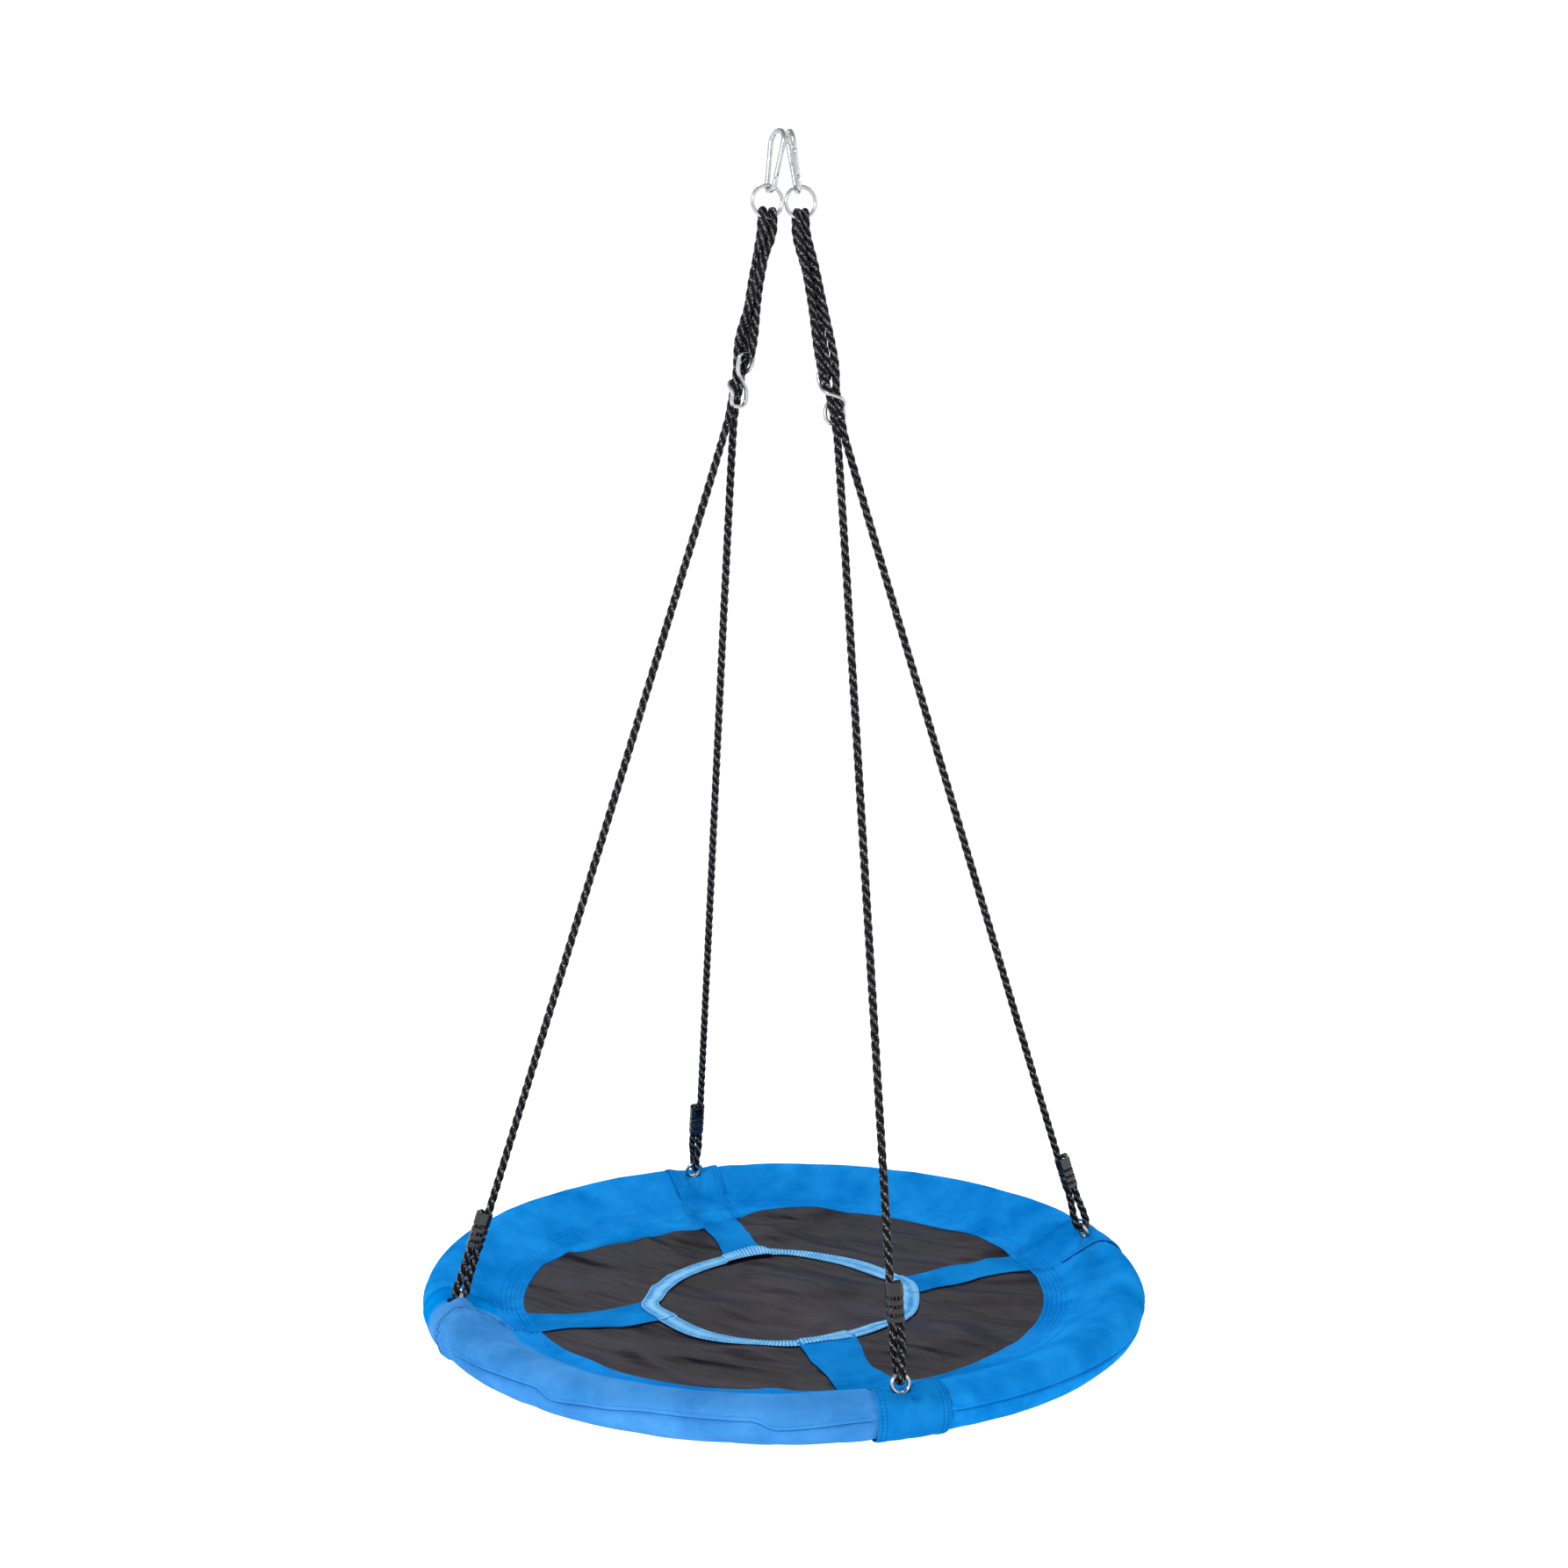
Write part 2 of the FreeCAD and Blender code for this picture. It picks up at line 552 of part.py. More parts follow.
# ---------------------------------------------------------------- cloth
def make_rim_cover():
    """The sewn rim cover: four long panels, and a reinforcing band at each eye bolt."""
    half_band = rim_angle(BAND_WIDTH / 2)
    gap = rim_angle(0.3)
    outside = RIM_SECTION / 2
    names = list(ATTACHMENTS)
    for index, place in enumerate(names):
        start = ATTACHMENTS[place] + half_band + gap
        span = 90 - 2 * (half_band + gap)
        panel = torus_sector(outside, start, span)
        inner = torus_sector(outside - COVER_THICKNESS, start - 1, span + 2)
        after = names[(index + 1) % len(names)]
        export("rim_cover_%s_%s" % (place, after), panel.cut(inner))
        band_start = ATTACHMENTS[place] - half_band
        band = torus_sector(outside + BAND_PROUD, band_start, 2 * half_band)
        band_inner = torus_sector(outside + BAND_PROUD - COVER_THICKNESS, band_start - 1, 2 * half_band + 2)
        opening = eye_seat(place).put(Part.makeCylinder(EYE_OPENING / 2, 40, Vector(0, 0, -15)))
        export("rim_band_" + place, band.cut([band_inner, opening]))


def dish(inside, outside, lift, thickness):
    """A ring of the sagging seat's surface, raised by lift, between two radii."""
    edge_radius = RIM_RADIUS - RIM_SECTION / 2
    sphere = (edge_radius ** 2 + SEAT_SAG ** 2) / (2 * SEAT_SAG)
    centre_z = RIM_Z - SEAT_SAG + sphere

    def at(radius, height):
        return Vector(radius, 0, centre_z - math.sqrt((sphere - height) ** 2 - radius ** 2))

    middle = (inside + outside) / 2
    low = Part.Arc(at(inside, lift), at(middle, lift), at(outside, lift)).toShape()
    top = lift + thickness
    high = Part.Arc(at(outside, top), at(middle, top), at(inside, top)).toShape()
    rise = Part.LineSegment(at(outside, lift), at(outside, top)).toShape()
    fall = Part.LineSegment(at(inside, top), at(inside, lift)).toShape()
    face = Part.Face(Part.Wire([low, rise, high, fall]))
    return face.revolve(Vector(0, 0, 0), Z_AXIS, 360)


def make_seat_cloth():
    """The dark seat cloth with its blue border, four spokes and webbing ring."""
    edge_radius = RIM_RADIUS - RIM_SECTION / 2
    spoke_lift = CLOTH_THICKNESS + LAYER_GAP
    spoke_thickness = 1.0
    top_lift = spoke_lift + spoke_thickness + LAYER_GAP
    export("seat_cloth", dish(0, edge_radius - 4, 0, CLOTH_THICKNESS))
    export("seat_border", dish(BORDER_INSIDE, edge_radius - 1.2, top_lift, 1.2))
    export("webbing_ring", dish(WEB_RING_OUTSIDE - WEB_RING_WIDTH, WEB_RING_OUTSIDE, top_lift, 1.8))
    spoke_inside = WEB_RING_OUTSIDE - WEB_RING_WIDTH + 4
    spoke_outside = BORDER_INSIDE + 14
    sheet = dish(spoke_inside, spoke_outside, spoke_lift, spoke_thickness)
    for place, degrees in ATTACHMENTS.items():
        strip = box_about(spoke_outside, SPOKE_WIDTH, 4 * SEAT_SAG, Vector(spoke_outside / 2 + 1, 0, RIM_Z))
        strip.rotate(Vector(0, 0, 0), Z_AXIS, degrees)
        export("seat_spoke_" + place, sheet.common(strip))


make_hooks()
make_rings()
make_adjusters()
make_ropes()
make_clamps()
make_eye_bolts()
make_frame()
make_padding()
make_rim_cover()
make_seat_cloth()
print("ring axes: top z %.3f, bottom z %.3f" % (ring_held_z, ring_bottom_z))
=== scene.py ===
"""Looks of the saucer nest swing: laid ropes, metal, sewn rim, seat cloth, webbing, floor and light.

Metres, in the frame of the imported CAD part: origin at the hanging point, +Z up.  The four
attachments of the seat are right (+X), back (+Y), left (-X) and front (-Y).
"""
import bpy
import bmesh
import json
from math import acos, atan2, copysign, cos, degrees, exp, hypot, pi, radians, sin, sqrt, tanh
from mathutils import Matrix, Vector, noise
from mathutils.bvhtree import BVHTree


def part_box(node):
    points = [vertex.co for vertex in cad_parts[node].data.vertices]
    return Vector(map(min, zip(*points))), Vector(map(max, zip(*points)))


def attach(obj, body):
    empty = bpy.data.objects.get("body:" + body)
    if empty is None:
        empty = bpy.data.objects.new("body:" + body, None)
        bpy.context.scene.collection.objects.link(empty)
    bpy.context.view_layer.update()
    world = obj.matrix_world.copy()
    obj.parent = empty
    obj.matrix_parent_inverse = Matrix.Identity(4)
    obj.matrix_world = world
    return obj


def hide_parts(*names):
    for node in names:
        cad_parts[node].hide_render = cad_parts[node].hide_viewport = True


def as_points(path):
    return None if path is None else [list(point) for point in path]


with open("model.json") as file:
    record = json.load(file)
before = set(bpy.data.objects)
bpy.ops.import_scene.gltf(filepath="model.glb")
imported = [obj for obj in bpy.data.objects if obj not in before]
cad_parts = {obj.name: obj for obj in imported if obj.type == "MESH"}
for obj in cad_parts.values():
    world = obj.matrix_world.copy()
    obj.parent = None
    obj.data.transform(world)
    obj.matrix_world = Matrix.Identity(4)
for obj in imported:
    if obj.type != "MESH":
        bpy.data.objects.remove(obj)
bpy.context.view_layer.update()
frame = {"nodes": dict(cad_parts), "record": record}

# ---- sizes worked out from the frame
SEAT_BODY = "seat_and_ropes"
ATTACHMENTS = {"right": 0.0, "back": 90.0, "left": 180.0, "front": 270.0}
NEXT = {"right": "back", "back": "left", "left": "front", "front": "right"}
SIDES = {"left": -1, "right": 1}
Z_AXIS = Vector((0, 0, 1))

cover_low, cover_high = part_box("rim_cover_right_back")
band_low, band_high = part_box("rim_band_right")
ring_low, ring_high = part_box("ring_right")
cloth_low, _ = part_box("seat_cloth")

RIM_Z = (cover_low.z + cover_high.z) / 2
RIM_SECTION = (cover_high.z - cover_low.z) / 2  # radius of the padded rim's section
RIM_RADIUS = band_high.x - (band_high.z - band_low.z) / 2  # to the middle of the section
EDGE_RADIUS = RIM_RADIUS - RIM_SECTION
SEAT_SAG = RIM_Z - cloth_low.z
RING_WIRE = ring_high.y - ring_low.y
RING_RADIUS = (ring_high.z - ring_low.z - RING_WIRE) / 2
RING_SPACING = ring_low.x + ring_high.x
RING_BOTTOM = ring_low.z + RING_WIRE / 2  # middle of the ring's lowest wire

# ---- rope sizes, as in the CAD part
ROPE_DIAMETER = 0.0095
LAY_PITCH = 0.043  # one turn of the three strands
EYE_CIRCLE = 0.460
EYE_RISE = 0.031
EYE_OUTSIDE = 0.028
EYE_WIRE = 0.0055
ADJUSTER_WIRE = 0.0055
ADJUSTER_TOP = 0.036
ADJUSTER_FOOT = 0.034
ADJUSTER_SHARE = {"left": 0.147, "right": 0.163}  # of the way from the ring to the seat

# ---- cloth sizes
CLOTH_TOP = 0.0015  # the dark cloth's upper face above the dish
LAYER = 0.0013  # one more layer of cloth on it
COVER_THICKNESS = 0.0009
CLOTH_THICKNESS = 0.0017
WEBBING_THICKNESS = 0.0014
THREAD = 0.00045  # half a thread
BORDER_INSIDE = 0.3625
BORDER_OUTSIDE = 0.412
STITCH_ROWS = [0.3690, 0.3755, 0.3820, 0.3885, 0.3950]
FLANGE_RADIUS = 0.402  # where the rim's cover is sewn to the border
FLANGE_HEM = 0.005
HEM = 0.010  # the cover's upper hem, sunk into the border
# How far each band reaches along the rim from its eye, before it and beyond it.
BANDS = {"right": (0.050, 0.050), "back": (0.041, 0.041), "left": (0.050, 0.050), "front": (0.040, 0.050)}
BAND_ROWS = (0.0045, 0.0100)  # the two rows of stitches at each end of a band
BAND_LIFT = 0.0021
BAND_LAP = 0.006  # how far a panel's end runs on under the band
FLAP_LIFT = 0.0044  # the left front panel's end lies over the band
# How deep and how wide the cover is drawn in round each eye.
DIMPLES = {"right": (0.009, 0.022), "back": (0.012, 0.028), "left": (0.006, 0.022), "front": (0.0125, 0.023)}
LIP = {"left": 0.0120}  # cloth that stands up beside an eye, on its front side
TUCK = {"front": 0.0080}  # a small tuck outside an eye, where the cloth is drawn in again
# Half the slit the eye stands in, across the rim and along it.
SLITS = {"right": (0.0052, 0.0135), "back": (0.0070, 0.0135), "left": (0.0150, 0.0140),
         "front": (0.0052, 0.0135)}
WEB_RING_MIDDLE = 0.1825
WEB_RING_WIDTH = 0.025
RIB_PITCH = 0.0048
SPOKE_INSIDE = 0.180
SPOKE_OUTSIDE = 0.376
SPOKE_WIDTH = {"right": 0.062, "back": 0.056, "left": 0.068, "front": 0.074}
SPOKE_SHIFT = {"left": 0.016, "front": -0.008}  # how far a spoke bends aside, outside the webbing ring
SPOKE_HEM = 0.0045
# Where the cover's lengthwise seam runs: degrees round the rim, then degrees up its section.
SEAM_HEIGHT = -5.0
SEAM_WANDER = [(180, -5), (188, -2), (213.5, 15), (217, -3), (224, 6), (233, 17), (247.5, 16), (251, -3),
               (264, 9), (290, 6), (320, -5)]
SEAM_JOGS = (215.2, 249.2)  # degrees round the rim where the seam steps


# ---- small helpers
def placed(name, data):
    """A new object in the scene."""
    made = bpy.data.objects.new(name, data)
    bpy.context.scene.collection.objects.link(made)
    return made


def new_mesh(name, points, faces):
    """A smooth mesh object from points and faces."""
    mesh = bpy.data.meshes.new(name)
    mesh.from_pydata([tuple(point) for point in points], [], faces)
    mesh.validate()
    mesh.polygons.foreach_set("use_smooth", [True] * len(mesh.polygons))
    return placed(name, mesh)


def set_uv(piece, coordinates, wrap=0.0):
    """Give each vertex its own flat coordinates in metres; wrap is the length round a closed piece."""
    layer = piece.data.uv_layers.new(name="UVMap")
    for face in piece.data.polygons:
        places = [coordinates[index] for index in face.vertices]
        far = max(along for _, along in places)
        for loop, (across, along) in zip(face.loop_indices, places):
            if wrap and far - along > wrap / 2:
                along += wrap
            layer.data[loop].uv = (across, along)


def flat_places(piece):
    """Each vertex's flat coordinates, as set_uv gave them."""
    places = [None] * len(piece.data.vertices)
    layer = piece.data.uv_layers[0].data
    for loop in piece.data.loops:
        places[loop.vertex_index] = tuple(layer[loop.index].uv)
    return places


def grid(name, lanes, steps, place, closed=False):
    """A cloth grid: place(lane, step) gives a point; steps that close on themselves are joined."""
    points = [place(lane, step) for step in steps for lane in lanes]
    width = len(lanes)
    faces = []
    for row in range(len(steps) if closed else len(steps) - 1):
        here = row * width
        there = (row + 1) % len(steps) * width
        for lane in range(width - 1):
            faces.append((here + lane, here + lane + 1, there + lane + 1, there + lane))
    made = new_mesh(name, points, faces)
    wrap = len(steps) * (steps[1] - steps[0]) if closed else 0.0
    set_uv(made, [(lane, step) for step in steps for lane in lanes], wrap)
    return made


def places_along(start, end, pitch, fine_at=(), reach=0.006, fine_pitch=0.0015):
    """Places from start to end, closer together around each place in fine_at."""
    made = [start]
    while made[-1] < end - pitch / 4:
        near = min([abs(made[-1] - place) for place in fine_at] + [1.0])
        stride = fine_pitch if near < reach else min(pitch, max(fine_pitch, near - reach + fine_pitch))
        made.append(min(made[-1] + stride, end))
    return made


def spaced(start, end, count):
    """Evenly spaced places from start to end."""
    return [start + (end - start) * step / count for step in range(count + 1)]


def level(turn):
    """The level direction outwards at a turn round the seat."""
    return Vector((cos(turn), sin(turn), 0))


def ease(share):
    """0 to 1 without corners."""
    share = min(max(share, 0.0), 1.0)
    return share * share * (3 - 2 * share)


def bell(distance, reach):
    return exp(-(distance / reach) ** 2)


def waves(x, y, z=0.0):
    """Smooth noise of about -1 to 1."""
    return noise.noise(Vector((x, y, z)))


def surface_tree(piece):
    """A piece's faces, ready to be searched."""
    corners = [vertex.co.copy() for vertex in piece.data.vertices]
    return BVHTree.FromPolygons(corners, [face.vertices[:] for face in piece.data.polygons])


def applied(piece):
    """Turn a piece's modifiers into its mesh."""
    graph = bpy.context.evaluated_depsgraph_get()
    mesh = bpy.data.meshes.new_from_object(piece.evaluated_get(graph))
    piece.modifiers.clear()
    piece.data = mesh
    return piece


def finer(piece):
    """One smooth subdivision."""
    modifier = piece.modifiers.new("finer", "SUBSURF")
    modifier.levels = 1
    modifier.uv_smooth = "NONE"
    return applied(piece)


def press(piece, height):
    """Move each point outwards by height(across, along) of its place on the flat cloth."""
    places = flat_places(piece)
    normals = [vertex.normal.copy() for vertex in piece.data.vertices]
    for vertex, normal, place in zip(piece.data.vertices, normals, places):
        vertex.co += normal * height(*place)
    piece.data.update()


def settle(piece, held, spare, cap, bending=0.4, push=0.0, fall=0.0, steps=18):
    """Let cloth cut a little larger than its shape find its folds, held where held(...) is true."""
    scene = bpy.context.scene
    starts = [vertex.co.copy() for vertex in piece.data.vertices]
    places = flat_places(piece)
    group = piece.vertex_groups.new(name="held")
    group.add([index for index, place in enumerate(places) if held(*place)], 1.0, "REPLACE")
    modifier = piece.modifiers.new("cloth", "CLOTH")
    modifier.point_cache.frame_start = 1
    modifier.point_cache.frame_end = steps
    modifier.collision_settings.use_collision = False
    cloth = modifier.settings
    cloth.effector_weights.gravity = fall
    settings = {"quality": 6, "mass": 0.25, "tension_stiffness": 25, "compression_stiffness": 25,
                "shear_stiffness": 10, "bending_stiffness": bending, "air_damping": 3,
                "vertex_group_mass": "held", "shrink_min": -spare, "use_pressure": push != 0.0,
                "uniform_pressure_force": push}
    for name, value in settings.items():
        setattr(cloth, name, value)
    for step in range(1, steps + 1):
        scene.frame_set(step)
    applied(piece)
    scene.frame_set(1)
    piece.vertex_groups.clear()
    for vertex, start in zip(piece.data.vertices, starts):
        move = vertex.co - start
        if move.length > 1e-9:
            vertex.co = start + move * (cap * tanh(move.length / cap) / move.length)
    piece.data.update()


def thicken(piece, thickness):
    """Cloth thickness, inwards from the visible face."""
    modifier = piece.modifiers.new("thickness", "SOLIDIFY")
    modifier.thickness = thickness
    modifier.offset = -1


class Seat:
    """A local place: an origin with its own X and Z directions."""

    def __init__(self, origin, x_axis, z_axis):
        self.origin = Vector(origin)
        self.z = Vector(z_axis).normalized()
        self.x = (Vector(x_axis) - self.z * self.z.dot(x_axis)).normalized()
        self.y = self.z.cross(self.x)

    def point(self, x, y, z):
        return self.origin + self.x * x + self.y * y + self.z * z


# ---- materials
NOTHING = (0, 0, 0)
FULL = (1, 1, 1)
BLUE_WEAVE = 0.0009  # pitch of the blue cloth's threads
# Deep and bright clouds of the left front panel's blue, and of the left band's behind the eye.
PALE_BLUE = ((0.040, 0.215, 0.560), (0.070, 0.290, 0.690))
BEHIND_EYE = ((0.0, 0.172, 0.555), (0.0, 0.255, 0.730))


class Shader:
    """One material's nodes, added one at a time."""

    def __init__(self, name):
        self.material = bpy.data.materials.new(name)
        self.material.use_nodes = True
        self.tree = self.material.node_tree
        self.surface = self.tree.nodes["Principled BSDF"]

    def put(self, socket, value):
        if isinstance(value, bpy.types.NodeSocket):
            self.tree.links.new(value, socket)
        else:
            socket.default_value = value

    def node(self, kind, settings=(), **inputs):
        """A node of that kind; inputs are named with underscores for spaces."""
        made = self.tree.nodes.new("ShaderNode" + kind)
        for name, value in dict(settings).items():
            setattr(made, name, value)
        for name, value in inputs.items():
            self.put(made.inputs[name.replace("_", " ")], value)
        return made

    def math(self, operation, first, second=0.0):
        made = self.node("Math", {"operation": operation})
        self.put(made.inputs[0], first)
        self.put(made.inputs[1], second)
        return made.outputs[0]

    def times(self, first, second):
        return self.math("MULTIPLY", first, second)

    def place(self, scale=(1, 1, 1), turned=0.0):
        """Object coordinates in metres, turned about Z and then scaled on each axis."""
        place = self.node("TexCoord").outputs["Object"]
        if turned:
            place = self.node("Mapping", Vector=place, Rotation=(0, 0, turned)).outputs[0]
        return self.node("Mapping", Vector=place, Scale=scale).outputs[0]

    def flat(self):
        """The piece's flat coordinates, across and along, in metres."""
        made = self.node("SeparateXYZ", Vector=self.node("TexCoord").outputs["UV"])
        return made.outputs[0], made.outputs[1]

    def ripple(self, place, pitch):
        """A sine of that pitch, from -1 to 1."""
        return self.math("SINE", self.times(place, 2 * pi / pitch))

    def weave(self, pitch):
        """Crossing threads of that pitch, from -1 to 1."""
        across, along = self.flat()
        return self.times(self.ripple(across, pitch), self.ripple(along, pitch))

    def noise(self, place, scale, detail=3.0, roughness=0.5):
        made = self.node("TexNoise", Vector=place, Scale=scale, Detail=detail, Roughness=roughness)
        return made.outputs[0]

    def ramp(self, factor, stops):
        """Colours between stops of (position, colour)."""
        made = self.node("ValToRGB", Fac=factor)
        elements = made.color_ramp.elements
        while len(elements) < len(stops):
            elements.new(0.5)
        for element, (position, colour) in zip(elements, stops):
            element.position = position
            element.color = (*colour, 1)
        return made.outputs[0]

    def clouds(self, cloud, deep, bright):
        """The blue cloth's clouds, from deep to bright."""
        return self.ramp(cloud, [(0.38, deep), (0.64, bright)])

    def mixed(self, factor, first, second):
        made = self.node("MixRGB", Fac=factor)
        self.put(made.inputs[1], first)
        self.put(made.inputs[2], second)
        return made.outputs[0]

    def spread(self, factor, low, high):
        """Map 0..1 to low..high."""
        return self.node("MapRange", Value=factor, To_Min=low, To_Max=high).outputs[0]

    def bump(self, height, distance, strength=1.0, normal=None):
        made = self.node("Bump", Height=height, Distance=distance, Strength=strength)
        if normal is not None:
            self.put(made.inputs["Normal"], normal)
        return made.outputs[0]

    def finish(self, **inputs):
        for name, value in inputs.items():
            self.put(self.surface.inputs[name.replace("_", " ")], value)
        return self.material


def zinc_steel():
    """Bright zinc plate with a soft mottle and fine draw marks."""
    s = Shader("zinc_steel")
    place = s.place()
    mottle = s.noise(place, 45, 3)
    grain = s.noise(place, 900, 2)
    colour = s.ramp(mottle, [(0.3, (0.42, 0.43, 0.45)), (0.7, (0.58, 0.59, 0.61))])
    rough = s.spread(s.noise(place, 30, 3), 0.14, 0.28)
    return s.finish(Base_Color=colour, Metallic=1.0, Roughness=rough, Normal=s.bump(grain, 0.0002, 0.35))


def frame_steel():
    """Galvanised tube: a dull spangle with faint scratches."""
    s = Shader("frame_steel")
    place = s.place()
    spangle = s.node("TexVoronoi", Vector=place, Scale=140).outputs[0]
    colour = s.ramp(spangle, [(0.1, (0.35, 0.36, 0.37)), (0.7, (0.55, 0.56, 0.57))])
    rough = s.spread(s.noise(place, 60, 4), 0.32, 0.55)
    return s.finish(Base_Color=colour, Metallic=1.0, Roughness=rough, Normal=s.bump(spangle, 0.0002, 0.3))


def clamp_plastic():
    """Black moulded plastic, glossy, with scuffs and flow marks."""
    s = Shader("clamp_plastic")
    place = s.place()
    scuff = s.noise(place, 350, 6, 0.7)
    colour = s.ramp(scuff, [(0.45, (0.003, 0.003, 0.004)), (0.75, (0.020, 0.020, 0.026))])
    rough = s.spread(s.noise(place, 120, 4), 0.07, 0.16)
    rounded = s.node("Bevel", {"samples": 6}, Radius=0.0022).outputs[0]
    return s.finish(Base_Color=colour, Roughness=rough, Specular_IOR_Level=0.70,
                    Normal=s.bump(scuff, 0.0003, 0.25, rounded))


def white_foam():
    """Closed-cell foam sleeve: fine cells and a faint skin mottle."""
    s = Shader("white_foam")
    place = s.place()
    cells = s.node("TexVoronoi", Vector=place, Scale=700).outputs[0]
    colour = s.ramp(s.noise(place, 30, 3), [(0.3, (0.78, 0.78, 0.76)), (0.7, (0.86, 0.86, 0.85))])
    return s.finish(Base_Color=colour, Roughness=0.8, Normal=s.bump(cells, 0.0006, 0.5))


def black_rope():
    """Near-black laid rope: fine yarns nearly in line with it, and pale yarn glints along the strands'
    crests, painted into the colour as a highlight.
    """
    s = Shader("black_rope")
    along, round_it = s.flat()
    angle = s.math("ADD", s.times(round_it, 2 / ROPE_DIAMETER), s.times(along, 2 * pi / LAY_PITCH))
    crest = s.math("COSINE", s.times(angle, 3))
    leaned = s.math("ADD", round_it, s.times(along, 0.12))
    yarns = s.node("CombineXYZ", X=s.times(along, 330), Y=s.times(leaned, 1250)).outputs[0]
    fibre = s.noise(yarns, 1.0, 2, 0.5)
    # Painted highlight: pale glints on the yarns, kept to the strands' crests where the light catches them.
    painted_glint = s.times(s.ramp(fibre, [(0.54, NOTHING), (0.62, FULL)]),
                    s.ramp(crest, [(0.05, NOTHING), (0.6, FULL)]))
    base = s.ramp(fibre, [(0.3, (0.0010, 0.0010, 0.0014)), (0.6, (0.006, 0.006, 0.008))])
    colour = s.mixed(painted_glint, base, (0.44, 0.44, 0.46, 1))
    return s.finish(Base_Color=colour, Roughness=s.spread(fibre, 0.35, 0.65), Specular_IOR_Level=0.07,
                    Normal=s.bump(fibre, 0.0006, 0.8))


def blue_cloth(name, deep, bright):
    """Coated blue polyester: fine weave, soft cloudy colour, faint creases whose light and shade are also
    painted into the colour.
    """
    s = Shader(name)
    cloud = s.noise(s.place(), 13, 4, 0.6)
    crease = s.noise(s.place((26, 26, 40)), 1.0, 4, 0.55)
    # Painted light and shade: a tenth of the colour follows the crease bumps, darker in their hollows and
    # paler on their crests.
    painted_crease_shading = s.ramp(crease, [(0.35, (0.0, 0.07, 0.30)), (0.65, (0.02, 0.32, 0.80))])
    colour = s.mixed(0.10, s.clouds(cloud, deep, bright), painted_crease_shading)
    normal = s.bump(s.weave(BLUE_WEAVE), 0.00012, 0.35, s.bump(crease, 0.004, 0.25))
    return s.finish(Base_Color=colour, Roughness=s.spread(cloud, 0.46, 0.62), Specular_IOR_Level=0.0,
                    Normal=normal)


def half_pale(eye_along):
    """The left band's cloth: deep blue behind the eye, and paler in front of it."""
    s = Shader("blue_cloth_half_pale")
    beyond_eye = s.math("SUBTRACT", s.flat()[1], eye_along - 0.004)
    front = s.ramp(s.times(beyond_eye, 60), [(0.0, NOTHING), (1.0, FULL)])
    cloud = s.noise(s.place(), 13, 4, 0.6)
    colour = s.mixed(front, s.clouds(cloud, *BEHIND_EYE), s.clouds(cloud, *PALE_BLUE))
    return s.finish(Base_Color=colour, Roughness=s.spread(cloud, 0.46, 0.62), Specular_IOR_Level=0.0,
                    Normal=s.bump(s.weave(BLUE_WEAVE), 0.00012, 0.35))


def dark_cloth():
    """Charcoal seat cloth: slightly glossy woven face, brown and violet tints, and long streaks of painted
    light and shade that stand in for the sheen of soft folds.
    """
    s = Shader("dark_cloth")
    fold_sheen_streak = s.noise(s.place((3.5, 11, 3.5), radians(45)), 1.0, 3, 0.5)
    tint = s.noise(s.place((5, 3, 3)), 1.0, 2, 0.5)
    crease = s.noise(s.place((4, 13, 4), radians(50)), 1.0, 3, 0.45)
    # Painted light and shade: the charcoal goes from dark to pale along long streaks, standing in for the
    # sheen and shade of soft folds.
    charcoal_and_painted_sheen = s.ramp(fold_sheen_streak, [(0.36, (0.002, 0.001, 0.006)), (0.50, (0.006, 0.004, 0.012)),
                           (0.66, (0.026, 0.021, 0.036))])
    tinted = s.ramp(tint, [(0.35, (0.012, 0.007, 0.006)), (0.65, (0.006, 0.006, 0.014))])
    normal = s.bump(s.weave(0.0012), 0.00015, 0.35, s.bump(crease, 0.030, 0.8))
    return s.finish(Base_Color=s.mixed(0.22, charcoal_and_painted_sheen, tinted), Roughness=s.spread(fold_sheen_streak, 0.30, 0.48),
                    Specular_IOR_Level=0.028, Normal=normal)


def blue_webbing():
    """Light blue woven webbing: pale ribs with painted shade in the darker valleys between them, and a fuzz
    of fine threads.
    """
    s = Shader("blue_webbing")
    across, along = s.flat()
    thread = s.times(s.ripple(across, 0.0011), s.ripple(along, 0.0008))
    wear = s.noise(s.place(), 60, 4, 0.6)
    # Painted shade: the colour darkens in the valleys between the ribs, at the ribs' pitch, with random wear
    # added on top.
    rib_shade_and_wear = s.math("ADD", s.times(s.ripple(along, RIB_PITCH), 0.36), wear)
    colour = s.ramp(rib_shade_and_wear, [(0.15, (0.030, 0.27, 0.66)), (0.75, (0.28, 0.64, 0.96))])
    return s.finish(Base_Color=colour, Roughness=s.spread(wear, 0.5, 0.72), Specular_IOR_Level=0.04,
                    Normal=s.bump(thread, 0.0002, 0.6))


MATERIALS = {
    "zinc_steel": zinc_steel(),
    "frame_steel": frame_steel(),
    "clamp_plastic": clamp_plastic(),
    "white_foam": white_foam(),
    "black_rope": black_rope(),
    "blue_cloth": blue_cloth("blue_cloth", (0.002, 0.185, 0.580), (0.010, 0.275, 0.760)),
    "dark_cloth": dark_cloth(),
    "blue_webbing": blue_webbing(),
}
PALE_PANEL = blue_cloth("blue_cloth_pale", *PALE_BLUE)
SHADED_CLOTH = blue_cloth("blue_cloth_shaded", (0.002, 0.146, 0.460), (0.007, 0.215, 0.600))
